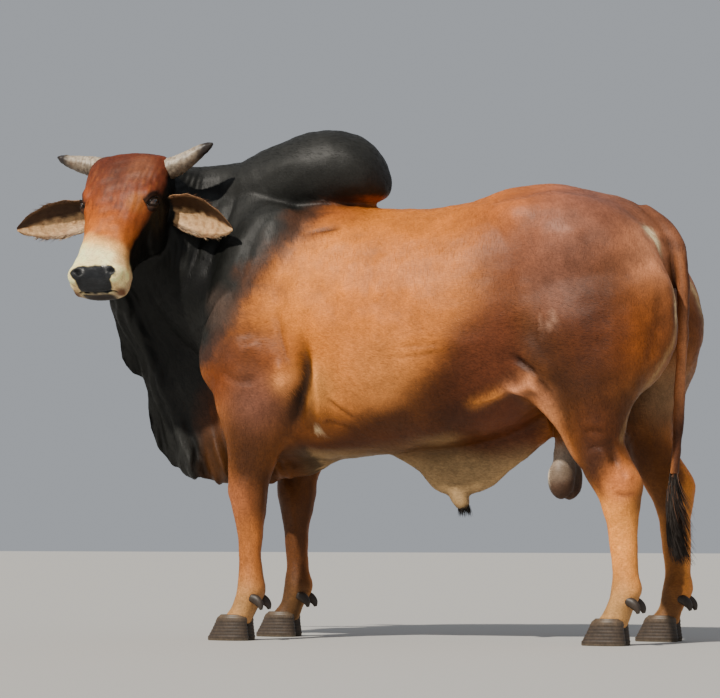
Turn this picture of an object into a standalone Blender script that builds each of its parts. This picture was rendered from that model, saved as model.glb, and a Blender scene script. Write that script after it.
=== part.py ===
"""Standing zebu bull at life size, head turned to its left, parted into named solids."""
import math

import bmesh
import bpy
import numpy as np
from mathutils import Matrix, Vector

# Frame: the bull faces -X, its left side is -Y, the floor is z = 0, metres.
ORIGIN_X = 0.256
ORIGIN_Y = 0.090
GAP = 0.0003
SEED = 7

# Voxel sizes and triangle budgets of the flesh.
BODY_VOXEL = 0.0125
HEAD_VOXEL = 0.0045
BODY_TRIANGLES = 4600
HEAD_TRIANGLES = 4200

# Head pose: the poll is its local origin, x its right, y out of the face, z up the face.
POLL = Vector((-1.002, -0.266, 1.628))
HEAD_TURN = math.radians(88.0)
HEAD_SLOPE = math.radians(32.0)

EYE_CENTRE = (0.120, -0.044, -0.188)
EYE_RADIUS = 0.0215
EYE_OUT = (0.90, 0.42, 0.05)
EYE_ALONG = (-0.30, 0.60, -0.70)

LEG_Y = 0.195
FAR_HIND_BACK = 0.07
FAR_FORE_BACK = 0.021
SIDES = (("left", -1.0), ("right", 1.0))


def material(name, colour, roughness):
    mat = bpy.data.materials.new(name)
    mat.use_nodes = True
    shader = mat.node_tree.nodes["Principled BSDF"]
    shader.inputs["Base Color"].default_value = (*colour, 1.0)
    shader.inputs["Roughness"].default_value = roughness
    return mat


def new_object(name, bm):
    """Close a bmesh into an object with outward faces."""
    bmesh.ops.recalc_face_normals(bm, faces=bm.faces[:])
    if bm.calc_volume(signed=True) < 0:
        bmesh.ops.reverse_faces(bm, faces=bm.faces[:])
    bmesh.ops.triangulate(bm, faces=bm.faces[:])
    mesh = bpy.data.meshes.new(name)
    bm.to_mesh(mesh)
    bm.free()
    obj = bpy.data.objects.new(name, mesh)
    bpy.context.scene.collection.objects.link(obj)
    return obj


def remove(objects):
    for obj in objects:
        mesh = obj.data
        bpy.data.objects.remove(obj)
        bpy.data.meshes.remove(mesh)


def applied(obj):
    """Bake the modifiers of an object into its mesh."""
    graph = bpy.context.evaluated_depsgraph_get()
    graph.update()
    baked = bpy.data.meshes.new_from_object(obj.evaluated_get(graph))
    old = obj.data
    obj.modifiers.clear()
    obj.data = baked
    bpy.data.meshes.remove(old)
    return obj


def copy_of(obj, name):
    twin = bpy.data.objects.new(name, obj.data.copy())
    bpy.context.scene.collection.objects.link(twin)
    return twin


def coordinates(obj):
    flat = np.empty(len(obj.data.vertices) * 3)
    obj.data.vertices.foreach_get("co", flat)
    return flat.reshape(-1, 3)


def normals(obj):
    flat = np.empty(len(obj.data.vertices) * 3)
    obj.data.vertex_normals.foreach_get("vector", flat)
    return flat.reshape(-1, 3)


def set_coordinates(obj, points):
    obj.data.vertices.foreach_set("co", np.ascontiguousarray(points, dtype=float).ravel())
    obj.data.update()


def grown(obj, amount):
    """A copy of a solid moved out along its normals."""
    twin = copy_of(obj, obj.name + "_grown")
    set_coordinates(twin, coordinates(twin) + normals(twin) * amount)
    return twin


def boolean(obj, cutter, operation):
    modifier = obj.modifiers.new(operation.lower(), "BOOLEAN")
    modifier.operation = operation
    modifier.solver = "EXACT"
    modifier.object = cutter
    return applied(obj)


def largest_only(obj):
    """Keep the closed surface with the most volume and drop the crumbs."""
    bm = bmesh.new()
    bm.from_mesh(obj.data)
    unseen = set(bm.faces)
    islands = []
    while unseen:
        stack = [unseen.pop()]
        island = []
        while stack:
            face = stack.pop()
            island.append(face)
            for edge in face.edges:
                for other in edge.link_faces:
                    if other in unseen:
                        unseen.remove(other)
                        stack.append(other)
        size = sum(f.calc_center_median().dot(f.normal) * f.calc_area() for f in island) / 3
        islands.append((size, island))
    islands.sort(key=lambda item: item[0])
    for _, island in islands[:-1]:
        bmesh.ops.delete(bm, geom=island, context="FACES")
    bmesh.ops.triangulate(bm, faces=bm.faces[:])
    bm.to_mesh(obj.data)
    bm.free()
    return obj


def fair(rows, count):
    """Sample a short table of stations at even steps along a smooth curve."""
    rows = np.array(rows, dtype=float)
    steps = np.linalg.norm(np.diff(rows[:, :3], axis=0), axis=1)
    at = np.concatenate([[0.0], np.cumsum(steps)])
    slopes = np.gradient(rows, at, axis=0)
    out = []
    for place in np.linspace(0.0, at[-1], count):
        k = min(int(np.searchsorted(at, place, side="right")) - 1, len(at) - 2)
        width = at[k + 1] - at[k]
        t = (place - at[k]) / width
        out.append(
            rows[k] * (1 + 2 * t) * (1 - t) ** 2
            + rows[k + 1] * t * t * (3 - 2 * t)
            + slopes[k] * width * t * (1 - t) ** 2
            - slopes[k + 1] * width * t * t * (1 - t)
        )
    return np.array(out)


def ring(bm, centre, side, upper, lower, boxy, segments):
    """One closed section: an oval whose upper and lower halves differ."""
    made = bmesh.ops.create_circle(bm, cap_ends=False, segments=segments, radius=1.0)
    for vert in made["verts"]:
        angle = math.atan2(vert.co.y, vert.co.x)
        across = math.copysign(abs(math.cos(angle)) ** boxy, math.cos(angle))
        along = math.copysign(abs(math.sin(angle)) ** boxy, math.sin(angle))
        vert.co = centre + side * across + (upper if along > 0 else lower) * abs(along)
    return made["verts"]


def skin_rings(bm, rings):
    for first, second in zip(rings, rings[1:]):
        edges = set()
        for verts in (first, second):
            for vert in verts:
                edges.update(e for e in vert.link_edges if e.other_vert(vert) in verts)
        bmesh.ops.bridge_loops(bm, edges=list(edges))
    for verts in (rings[0], rings[-1]):
        loop = [e for v in verts for e in v.link_edges if e.is_boundary]
        bmesh.ops.contextual_create(bm, geom=list(set(loop)))


def tube(name, rows, up=(0, 0, 1), count=28, segments=28, boxy=1.0, along=None):
    """Loft ovals along a path; each row is x, y, z, half width, half up, half down."""
    bm = bmesh.new()
    samples = fair(rows, count)
    ahead = np.gradient(samples[:, :3], axis=0)
    rings = []
    for row, step in zip(samples, ahead):
        tangent = Vector(along) if along else Vector(step).normalized()
        side = Vector(up).cross(tangent).normalized()
        lift = tangent.cross(side)
        sizes = np.maximum(row[3:6], 0.002)
        rings.append(
            ring(bm, Vector(row[:3]), side * sizes[0], lift * sizes[1], lift * -sizes[2], boxy, segments)
        )
    skin_rings(bm, rings)
    return new_object(name, bm)


def sheet(name, rows, count=26, segments=20):
    """Loft a hanging fold; each row is its inner xyz, its edge xyz and its half thickness."""
    bm = bmesh.new()
    samples = fair(rows, count)
    middles = (samples[:, :3] + samples[:, 3:6]) / 2
    ahead = np.gradient(middles, axis=0)
    rings = []
    for row, middle, step in zip(samples, middles, ahead):
        reach = Vector(row[3:6]) - Vector(middle)
        side = Vector(step).cross(reach).normalized() * row[6]
        rings.append(ring(bm, Vector(middle), side, reach, -reach, 0.9, segments))
    skin_rings(bm, rings)
    return new_object(name, bm)


def mass(name, centre, radii, tilt=(0, 0, 0)):
    """A rounded muscle or bone mass."""
    bm = bmesh.new()
    bmesh.ops.create_icosphere(bm, subdivisions=4, radius=1.0)
    turn = Matrix.Rotation(math.radians(tilt[2]), 4, "Z")
    turn = turn @ Matrix.Rotation(math.radians(tilt[1]), 4, "Y")
    turn = turn @ Matrix.Rotation(math.radians(tilt[0]), 4, "X")
    size = Matrix.Diagonal((*radii, 1.0))
    bm.transform(Matrix.Translation(Vector(centre)) @ turn @ size)
    return new_object(name, bm)


def region(name, walls, extra=0.0):
    """A convex cutter: a big cube trimmed by walls, each a point and an outward direction."""
    bm = bmesh.new()
    bmesh.ops.create_cube(bm, size=6.0)
    for point, direction in walls:
        outward = Vector(direction).normalized()
        cut = bmesh.ops.bisect_plane(
            bm,
            geom=bm.verts[:] + bm.edges[:] + bm.faces[:],
            plane_co=Vector(point) + outward * extra,
            plane_no=outward,
            clear_outer=True,
        )
        rim = [g for g in cut["geom_cut"] if isinstance(g, bmesh.types.BMEdge)]
        bmesh.ops.contextual_create(bm, geom=rim)
    return new_object(name, bm)


def fused(name, pieces, voxel, smoothing):
    """Melt overlapping pieces into one closed skin."""
    bm = bmesh.new()
    for piece in pieces:
        bm.from_mesh(piece.data)
    remove(pieces)
    obj = new_object(name, bm)
    melt = obj.modifiers.new("melt", "REMESH")
    melt.mode = "VOXEL"
    melt.voxel_size = voxel
    ease = obj.modifiers.new("ease", "SMOOTH")
    ease.factor = 0.5
    ease.iterations = smoothing
    applied(obj)
    return largest_only(obj)


def thinned(obj, triangles):
    tidy = obj.modifiers.new("thin", "DECIMATE")
    obj.data.calc_loop_triangles()
    tidy.ratio = triangles / len(obj.data.loop_triangles)
    return applied(obj)


def distance_to_path(points, path):
    """Distance of each point to a short polyline."""
    best = np.full(len(points), 1e9)
    for a, b in zip(path, path[1:]):
        a = np.array(a, dtype=float)
        b = np.array(b, dtype=float)
        along = b - a
        t = np.clip((points - a) @ along / (along @ along), 0.0, 1.0)
        best = np.minimum(best, np.linalg.norm(points - a - t[:, None] * along, axis=1))
    return best


def crease(obj, path, width, depth):
    """Press a soft groove along a path, or raise a fold where the depth is negative."""
    rows = fair([(*p, 0, 0, 0) for p in path], 12)[:, :3]
    points = coordinates(obj)
    near = distance_to_path(points, rows)
    move = depth * np.exp(-((near / width) ** 2))
    set_coordinates(obj, points - normals(obj) * move[:, None])


# Body flesh


def trunk():
    """Chest, barrel and loin; x, y, z of the widest level, half width, up, down."""
    return tube(
        "trunk",
        [
            (-0.785, 0, 0.96, 0.060, 0.08, 0.08),
            (-0.760, 0, 0.97, 0.130, 0.16, 0.18),
            (-0.700, 0, 0.98, 0.210, 0.30, 0.30),
            (-0.600, 0, 0.98, 0.265, 0.44, 0.37),
            (-0.450, 0, 0.98, 0.305, 0.49, 0.395),
            (-0.300, 0, 0.98, 0.330, 0.470, 0.380),
            (-0.100, 0, 0.98, 0.345, 0.452, 0.362),
            (0.100, 0, 0.99, 0.345, 0.449, 0.355),
            (0.280, 0, 1.03, 0.325, 0.459, 0.350),
            (0.430, 0, 1.09, 0.290, 0.408, 0.330),
            (0.580, 0, 1.12, 0.255, 0.340, 0.280),
            (0.700, 0, 1.13, 0.200, 0.280, 0.210),
            (0.780, 0, 1.14, 0.120, 0.200, 0.120),
            (0.810, 0, 1.15, 0.050, 0.120, 0.050),
        ],
        count=44,
        segments=36,
        boxy=0.92,
        along=(1, 0, 0),
    )


def hump():
    return tube(
        "hump",
        [
            (-0.820, 0, 1.450, 0.080, 0.100, 0.10),
            (-0.700, 0, 1.490, 0.120, 0.115, 0.12),
            (-0.560, 0, 1.530, 0.145, 0.138, 0.14),
            (-0.420, 0, 1.560, 0.155, 0.146, 0.15),
            (-0.310, 0, 1.572, 0.145, 0.125, 0.13),
            (-0.228, 0, 1.562, 0.116, 0.093, 0.112),
            (-0.184, 0, 1.541, 0.070, 0.058, 0.076),
            (-0.167, 0, 1.524, 0.030, 0.025, 0.038),
        ],
        count=30,
        along=(1, 0, 0),
    )


def neck(first=0):
    """The neck from inside the chest to behind the jaw, or only its front stations."""
    rows = [
        (-0.480, 0.000, 1.200, 0.240, 0.260, 0.340),
        (-0.620, 0.000, 1.220, 0.225, 0.330, 0.340),
        (-0.740, -0.005, 1.260, 0.205, 0.345, 0.330),
        (-0.850, -0.030, 1.320, 0.175, 0.290, 0.270),
        (-0.935, -0.085, 1.390, 0.150, 0.218, 0.210),
        (-0.975, -0.165, 1.430, 0.130, 0.168, 0.170),
        (-0.990, -0.240, 1.440, 0.095, 0.120, 0.110),
    ]
    return tube("neck", rows[first:], count=26 - 3 * first)


def crest():
    """The top of the neck, from behind the horns up on to the hump."""
    return tube(
        "crest",
        [
            (-0.990, -0.235, 1.500, 0.060, 0.070, 0.10),
            (-0.965, -0.165, 1.510, 0.072, 0.085, 0.12),
            (-0.915, -0.085, 1.515, 0.082, 0.090, 0.14),
            (-0.830, -0.025, 1.520, 0.092, 0.080, 0.15),
            (-0.720, 0.000, 1.520, 0.105, 0.092, 0.15),
            (-0.600, 0.000, 1.520, 0.110, 0.102, 0.15),
        ],
        count=20,
    )


def dewlap(last=None):
    """The hanging throat skin down to the brisket, or only its upper stations."""
    rows = [
        (-0.960, -0.190, 1.340, -1.065, -0.215, 1.260, 0.045),
        (-0.930, -0.130, 1.240, -1.125, -0.150, 1.150, 0.048),
        (-0.860, -0.070, 1.130, -1.118, -0.095, 1.020, 0.046),
        (-0.780, -0.030, 1.030, -1.084, -0.050, 0.898, 0.044),
        (-0.760, -0.022, 0.990, -1.044, -0.042, 0.856, 0.042),
        (-0.722, -0.010, 0.920, -1.036, -0.020, 0.760, 0.042),
        (-0.680, 0.000, 0.840, -0.998, 0.000, 0.640, 0.042),
        (-0.640, 0.000, 0.780, -0.925, 0.000, 0.550, 0.044),
        (-0.600, 0.000, 0.740, -0.800, 0.000, 0.520, 0.048),
        (-0.560, 0.000, 0.710, -0.670, 0.000, 0.508, 0.052),
        (-0.510, 0.000, 0.700, -0.540, 0.000, 0.530, 0.052),
        (-0.450, 0.000, 0.700, -0.430, 0.000, 0.548, 0.048),
        (-0.390, 0.000, 0.700, -0.345, 0.000, 0.592, 0.040),
    ]
    return sheet("dewlap", rows[:last])


def belly_fold():
    """The skin that carries the sheath, hung along the midline."""
    return sheet(
        "belly_fold",
        [
            (-0.160, 0, 0.700, -0.150, 0, 0.605, 0.030),
            (-0.070, 0, 0.690, -0.068, 0, 0.556, 0.036),
            (0.000, 0, 0.680, 0.002, 0, 0.488, 0.040),
            (0.070, 0, 0.680, 0.084, 0, 0.466, 0.040),
            (0.140, 0, 0.690, 0.170, 0, 0.492, 0.038),
            (0.220, 0, 0.710, 0.250, 0, 0.550, 0.034),
            (0.300, 0, 0.740, 0.330, 0, 0.610, 0.030),
            (0.380, 0, 0.780, 0.410, 0, 0.670, 0.028),
        ],
    )


def fore_leg(name, sign, back):
    """Shoulder blade, arm, knee, cannon and pastern of one foreleg."""
    y = sign * LEG_Y
    rows = [
        (-0.545, y * 1.00, 0.980, 0.115, 0.150, 0.150),
        (-0.550, y * 1.05, 0.880, 0.110, 0.160, 0.160),
        (-0.562, y * 1.05, 0.780, 0.094, 0.146, 0.146),
        (-0.560, y * 1.02, 0.690, 0.080, 0.118, 0.116),
        (-0.576, y * 1.00, 0.600, 0.068, 0.090, 0.090),
        (-0.590, y * 0.99, 0.530, 0.060, 0.073, 0.073),
        (-0.590, y * 0.98, 0.465, 0.060, 0.068, 0.066),
        (-0.590, y * 0.97, 0.405, 0.048, 0.055, 0.055),
        (-0.589, y * 0.96, 0.330, 0.038, 0.046, 0.046),
        (-0.586, y * 0.96, 0.230, 0.037, 0.043, 0.043),
        (-0.586, y * 0.96, 0.165, 0.046, 0.050, 0.056),
        (-0.606, y * 0.96, 0.110, 0.044, 0.045, 0.045),
        (-0.630, y * 0.96, 0.072, 0.052, 0.056, 0.054),
        (-0.640, y * 0.96, 0.050, 0.052, 0.056, 0.054),
    ]
    rows = [(r[0] + back, *r[1:]) for r in rows]
    return tube(name, rows, up=(-1, 0, 0), count=36, segments=24, along=(0, 0, -1))


def fore_masses(name, sign):
    """Shoulder blade, point of the shoulder and triceps."""
    return [
        mass(name + "_blade", (-0.560, sign * 0.165, 1.130), (0.180, 0.135, 0.330), (0, 14, 0)),
        mass(name + "_point", (-0.670, sign * 0.165, 0.950), (0.110, 0.115, 0.160), (0, 0, 0)),
        mass(name + "_triceps", (-0.480, sign * 0.215, 0.890), (0.130, 0.105, 0.180), (0, 25, 0)),
    ]


def hind_leg(name, sign, back):
    """Thigh, gaskin, hock, cannon and pastern of one hind leg."""
    y = sign * LEG_Y
    rows = [
        (0.540, y * 0.80, 1.240, 0.110, 0.240, 0.240),
        (0.575, y * 0.86, 1.120, 0.130, 0.260, 0.260),
        (0.595, y * 0.90, 1.000, 0.135, 0.240, 0.240),
        (0.600, y * 0.95, 0.900, 0.125, 0.200, 0.215),
        (0.600, y * 1.02, 0.800, 0.105, 0.145, 0.150),
        (0.604, y * 1.05, 0.710, 0.085, 0.100, 0.100),
        (0.615, y * 1.05, 0.630, 0.066, 0.082, 0.082),
        (0.640, y * 1.05, 0.565, 0.056, 0.092, 0.090),
        (0.665, y * 1.05, 0.510, 0.052, 0.091, 0.092),
        (0.682, y * 1.04, 0.455, 0.048, 0.074, 0.066),
        (0.688, y * 1.03, 0.390, 0.038, 0.060, 0.052),
        (0.690, y * 1.02, 0.300, 0.036, 0.054, 0.048),
        (0.692, y * 1.02, 0.230, 0.037, 0.045, 0.045),
        (0.694, y * 1.02, 0.165, 0.046, 0.052, 0.056),
        (0.672, y * 1.02, 0.110, 0.043, 0.045, 0.045),
        (0.650, y * 1.02, 0.072, 0.050, 0.056, 0.054),
        (0.642, y * 1.02, 0.050, 0.050, 0.056, 0.054),
    ]
    rows = [(r[0] + back * min(1.0, max(0.0, (1.05 - r[2]) / 0.45)), *r[1:]) for r in rows]
    return tube(name, rows, up=(-1, 0, 0), count=44, segments=28, along=(0, 0, -1))


def hind_masses(name, sign):
    """Rump, buttock, thigh and point of the hip."""
    back = 0.006 if sign > 0 else 0.0
    return [
        mass(name + "_rump", (0.500, sign * 0.140, 1.250), (0.300, 0.170, 0.200), (0, 14, 0)),
        mass(name + "_buttock", (0.680 + back, sign * 0.155, 1.050), (0.180, 0.125, 0.260), (0, -6, 0)),
        mass(name + "_thigh", (0.560, sign * 0.180, 1.000), (0.230, 0.140, 0.270), (0, 0, 0)),
        mass(name + "_stifle", (0.430, sign * 0.190, 0.900), (0.130, 0.110, 0.170), (0, -25, 0)),
        mass(name + "_hip", (0.370, sign * 0.190, 1.360), (0.130, 0.090, 0.080), (0, 0, 0)),
    ]


def flank_web(name, sign, back):
    """Loose skin that runs from the flank down the front of the thigh."""
    y = sign * LEG_Y
    rows = [
        (0.440, y * 1.15, 0.900, 0.300, y * 1.28, 0.820, 0.022),
        (0.500, y * 1.08, 0.850, 0.372, y * 1.26, 0.785, 0.026),
        (0.540, y * 1.05, 0.770, 0.434, y * 1.20, 0.728, 0.028),
        (0.570, y * 1.05, 0.700, 0.478, y * 1.15, 0.668, 0.028),
        (0.600, y * 1.05, 0.640, 0.506, y * 1.12, 0.616, 0.026),
        (0.620, y * 1.05, 0.580, 0.545, y * 1.08, 0.560, 0.024),
    ]
    step = [back * min(1.0, max(0.0, (1.05 - r[2]) / 0.45)) for r in rows]
    rows = [(r[0] + d, r[1], r[2], r[3] + d, *r[4:]) for r, d in zip(rows, step)]
    return sheet(name, rows)


def to_head(x, y, z):
    """A place on the head in the bull's frame."""
    face = Vector((-math.cos(HEAD_TURN), -math.sin(HEAD_TURN), 0))
    right = Vector((-math.sin(HEAD_TURN), math.cos(HEAD_TURN), 0))
    out = face * math.cos(HEAD_SLOPE) + Vector((0, 0, math.sin(HEAD_SLOPE)))
    up = face * -math.sin(HEAD_SLOPE) + Vector((0, 0, math.cos(HEAD_SLOPE)))
    return POLL + right * x + out * y + up * z


def head_frame():
    zero = to_head(0, 0, 0)
    right, out, up = (to_head(*axis) - zero for axis in ((1, 0, 0), (0, 1, 0), (0, 0, 1)))
    return Matrix((right, out, up)).transposed().to_4x4(), zero


def head_tube(name, rows, count=34, segments=32, boxy=0.80):
    """Loft sections down the face; each row is depth down, half width, front y, back y, widest y."""
    stations = [(0, wide, -down, half, front - wide, wide - back) for down, half, front, back, wide in rows]
    made = tube(name, stations, up=(0, 1, 0), count=count, segments=segments, boxy=boxy, along=(0, 0, -1))
    turn, zero = head_frame()
    made.data.transform(Matrix.Translation(zero) @ turn)
    return made


def head_mass(name, centre, radii, tilt=(0, 0, 0)):
    made = mass(name, centre, radii, tilt)
    turn, zero = head_frame()
    made.data.transform(Matrix.Translation(zero) @ turn)
    return made


def skull():
    return head_tube(
        "skull",
        [
            (-0.024, 0.094, -0.050, -0.090, -0.070),
            (-0.013, 0.130, -0.020, -0.125, -0.065),
            (0.015, 0.147, 0.000, -0.160, -0.065),
            (0.060, 0.151, 0.012, -0.195, -0.065),
            (0.120, 0.148, 0.016, -0.225, -0.065),
            (0.175, 0.138, 0.014, -0.248, -0.070),
            (0.225, 0.122, 0.010, -0.262, -0.075),
            (0.280, 0.106, 0.008, -0.240, -0.072),
            (0.335, 0.096, 0.006, -0.198, -0.066),
            (0.390, 0.093, 0.004, -0.168, -0.062),
            (0.430, 0.100, 0.003, -0.156, -0.062),
            (0.465, 0.107, -0.002, -0.150, -0.064),
            (0.500, 0.104, -0.014, -0.142, -0.070),
            (0.526, 0.084, -0.036, -0.130, -0.080),
            (0.538, 0.040, -0.058, -0.112, -0.085),
        ],
    )


def head_masses():
    pieces = []
    for side, sign in SIDES:
        pieces += [
            head_mass(side + "_brow", (sign * 0.102, -0.036, -0.163), (0.040, 0.038, 0.056)),
            head_mass(side + "_socket", (sign * 0.118, -0.046, -0.188), (0.029, 0.028, 0.034)),
            head_mass(side + "_cheek", (sign * 0.086, -0.150, -0.205), (0.045, 0.090, 0.100)),
            head_mass(side + "_nostril", (sign * 0.064, -0.037, -0.484), (0.038, 0.034, 0.038)),
        ]
    return pieces


def eye(name, sign):
    bm = bmesh.new()
    bmesh.ops.create_uvsphere(bm, u_segments=14, v_segments=8, radius=EYE_RADIUS)
    x, y, z = EYE_CENTRE
    turn, zero = head_frame()
    bm.transform(Matrix.Translation(to_head(sign * x, y, z)) @ turn)
    return new_object(name, bm)


def horn(name, sign, rise, root):
    """A short thick horn; its path is given from the poll outwards."""
    rows = [
        (0.080, -0.066, root, 0.041),
        (0.122, -0.064, root + 0.002, 0.038),
        (0.162, -0.060, root + 0.006 + rise * 0.2, 0.035),
        (0.206, -0.054, root * 0.5 + rise * 0.6, 0.029),
        (0.246, -0.046, -0.006 + rise, 0.021),
        (0.276, -0.040, -0.002 + rise * 1.3, 0.012),
        (0.288, -0.038, rise * 1.4, 0.004),
    ]
    rows = [(sign * r[0], r[1], r[2], r[3], r[3], r[3]) for r in rows]
    made = tube(name, rows, up=(0, 1, 0), count=10, segments=12)
    turn, zero = head_frame()
    made.data.transform(Matrix.Translation(zero) @ turn)
    return made


def ear(name, sign):
    """A long leaf-shaped cup, open towards the front and below."""
    stations = [
        (0.000, 0.032, 1.00, 0.014),
        (0.044, 0.052, 1.00, 0.010),
        (0.098, 0.068, 0.85, 0.008),
        (0.152, 0.072, 0.72, 0.007),
        (0.206, 0.061, 0.62, 0.006),
        (0.252, 0.041, 0.52, 0.005),
        (0.286, 0.019, 0.42, 0.004),
        (0.298, 0.007, 0.42, 0.003),
    ]
    rows = fair([(0, 0, *r) for r in stations], 12)
    root = to_head(sign * 0.112, -0.130, -0.150)
    face = Vector((-math.cos(HEAD_TURN), -math.sin(HEAD_TURN), 0))
    right = Vector((-math.sin(HEAD_TURN), math.cos(HEAD_TURN), 0))
    reach = (right * sign + face * 0.22 + Vector((0, 0, -0.15))).normalized()
    opening = (face * 0.90 + Vector((0, 0, -0.40))).normalized()
    opening = (opening - reach * opening.dot(reach)).normalized()
    broad = reach.cross(opening).normalized()
    bm = bmesh.new()
    rings = []
    for row in rows:
        out, half, curl, thick = row[2:6]
        half *= 1.0 if sign < 0 else 0.90
        droop = Vector((0, 0, (-0.030 if sign < 0 else -0.008) * (out / 0.27) ** 2))
        centre = root + reach * out + droop
        made = bmesh.ops.create_circle(bm, cap_ends=False, segments=16, radius=1.0)["verts"]
        for vert in made:
            angle = math.atan2(vert.co.y, vert.co.x)
            bend = math.cos(angle) * 1.25 * curl
            radius = half / max(0.3, math.sin(min(1.25 * curl, 1.5)))
            shell = radius + math.sin(angle) * thick
            vert.co = (
                centre
                + broad * (math.sin(bend) * shell)
                - opening * ((math.cos(bend) - math.cos(1.25 * curl)) * shell)
            )
        rings.append(made)
    skin_rings(bm, rings)
    return new_object(name, bm)


def tail():
    rows = [
        (0.640, 0.000, 1.385, 0.045, 0.030, 0.040),
        (0.700, 0.000, 1.380, 0.042, 0.032, 0.040),
        (0.760, -0.004, 1.350, 0.036, 0.030, 0.034),
        (0.808, -0.010, 1.300, 0.030, 0.028, 0.030),
        (0.832, -0.016, 1.220, 0.026, 0.026, 0.026),
        (0.842, -0.020, 1.120, 0.024, 0.024, 0.024),
        (0.838, -0.022, 1.000, 0.022, 0.022, 0.022),
        (0.831, -0.022, 0.880, 0.021, 0.021, 0.021),
        (0.827, -0.022, 0.780, 0.020, 0.020, 0.020),
        (0.820, -0.022, 0.660, 0.019, 0.019, 0.019),
        (0.808, -0.022, 0.540, 0.017, 0.017, 0.017),
    ]
    return tube("tail", rows, up=(-1, 0, 0.3), count=19, segments=8)


def lock(name, root, lie, length, width, thickness, bend):
    """A flat tapered lock that leaves its root along its lie and bends as it goes."""
    rows = []
    for t, broad in ((0.0, 0.75), (0.3, 1.0), (0.6, 0.85), (0.85, 0.45), (1.0, 0.08)):
        place = Vector(root) + Vector(lie) * (length * t) + Vector(bend) * (t * t)
        rows.append((*place, width * broad, thickness * broad, thickness * broad))
    return tube(name, rows, up=(bend[0] + 0.4, bend[1] + 0.2, 0.1), count=5, segments=6)


def with_locks(core, locks):
    """Root the locks in their core by one union and drop the loose objects."""
    group = bpy.data.collections.new("locks")
    bpy.context.scene.collection.children.link(group)
    for obj in locks:
        group.objects.link(obj)
    union = core.modifiers.new("union", "BOOLEAN")
    union.operation = "UNION"
    union.solver = "EXACT"
    union.operand_type = "COLLECTION"
    union.collection = group
    applied(core)
    remove(locks)
    bpy.data.collections.remove(group)
    return largest_only(core)


def tail_switch():
    rows = [
        (0.809, -0.022, 0.552, 0.015, 0.015, 0.015),
        (0.803, -0.022, 0.500, 0.021, 0.023, 0.023),
        (0.801, -0.022, 0.440, 0.024, 0.027, 0.027),
        (0.808, -0.022, 0.375, 0.020, 0.022, 0.022),
        (0.823, -0.022, 0.325, 0.006, 0.006, 0.006),
    ]
    core = tube("tail_switch", rows, up=(-1, 0, 0.3), count=8, segments=10)
    chance = np.random.default_rng(SEED)
    locks = []
    for tier, (top, spread, count) in enumerate(((0.505, 0.012, 5), (0.455, 0.014, 6), (0.405, 0.012, 5))):
        for k in range(count):
            angle = 2 * math.pi * (k + 0.5 * tier) / count + chance.uniform(-0.2, 0.2)
            out = Vector((math.cos(angle), math.sin(angle), 0))
            root = Vector((0.803, -0.022, top + chance.uniform(-0.01, 0.01))) + out * spread
            lie = (out * 0.12 + Vector((0.02, 0, -1))).normalized()
            bend = Vector((0.040 + chance.uniform(-0.014, 0.018), chance.uniform(-0.008, 0.008), 0.0)) - out * 0.008
            length = 0.155 + chance.uniform(-0.020, 0.022)
            locks.append(lock("lock", root, lie, length, 0.016, 0.008, bend))
    return with_locks(core, locks)


def scrotum():
    """A hanging purse with two lobes parted by a shallow furrow."""
    rows = [
        (0.440, 0, 0.860, 0.050, 0.045, 0.045),
        (0.440, 0, 0.740, 0.046, 0.036, 0.038),
        (0.440, 0, 0.650, 0.044, 0.034, 0.034),
        (0.438, 0, 0.590, 0.052, 0.040, 0.042),
        (0.440, 0, 0.530, 0.050, 0.040, 0.044),
        (0.444, 0, 0.480, 0.030, 0.026, 0.028),
    ]
    purse = tube("purse", rows, up=(-1, 0, 0), count=13, segments=16, along=(0, 0, -1))
    lobes = [
        mass("lobe", (0.440 + 0.006 * sign, sign * 0.031, 0.527), (0.046, 0.040, 0.068))
        for _, sign in SIDES
    ]
    made = fused("scrotum", [purse] + lobes, 0.006, 4)
    for x in (0.390, 0.490):
        crease(made, [(x, 0, 0.60), (x, 0, 0.53), (0.44, 0, 0.455)], 0.012, 0.007)
    return thinned(made, 420)


def sheath():
    rows = [
        (0.050, 0, 0.540, 0.030, 0.034, 0.034),
        (0.070, 0, 0.490, 0.034, 0.036, 0.036),
        (0.088, 0, 0.455, 0.030, 0.030, 0.030),
        (0.096, 0, 0.436, 0.024, 0.022, 0.022),
        (0.100, 0, 0.425, 0.012, 0.011, 0.011),
    ]
    core = tube("sheath", rows, up=(-1, 0, 0), count=7, segments=12)
    chance = np.random.default_rng(SEED + 1)
    locks = []
    for k in range(5):
        angle = 2 * math.pi * k / 5
        out = Vector((math.cos(angle), math.sin(angle), 0))
        root = Vector((0.097, 0, 0.440)) + out * 0.013
        lie = (out * 0.25 + Vector((0.10, 0, -1))).normalized()
        bend = Vector((0.006, 0, 0)) - out * 0.006
        length = 0.032 + chance.uniform(-0.004, 0.005)
        locks.append(lock("lock", root, lie, length, 0.008, 0.004, bend))
    return with_locks(core, locks)


def claw(name, centre_x, centre_y, inner):
    """One claw of a cloven hoof with a flat sole on the floor."""
    bm = bmesh.new()
    levels = [
        (0.000, 0.086, 0.056, 0.0270),
        (0.006, 0.088, 0.058, 0.0285),
        (0.040, 0.070, 0.054, 0.0275),
        (0.076, 0.052, 0.050, 0.0260),
        (0.086, 0.040, 0.040, 0.0200),
    ]
    rings = []
    for z, front, back, half in levels:
        made = bmesh.ops.create_circle(bm, cap_ends=False, segments=12, radius=1.0)["verts"]
        for vert in made:
            c, s = vert.co.x, vert.co.y
            length = back if c > 0 else front
            taper = 1.0 - 0.35 * max(0.0, -c) ** 2
            wide = half * taper * (1.0 if s * inner > 0 else 0.82)
            vert.co = Vector((centre_x + c * length, centre_y + s * wide, z))
        rings.append(made)
    skin_rings(bm, rings)
    return new_object(name, bm)


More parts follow.
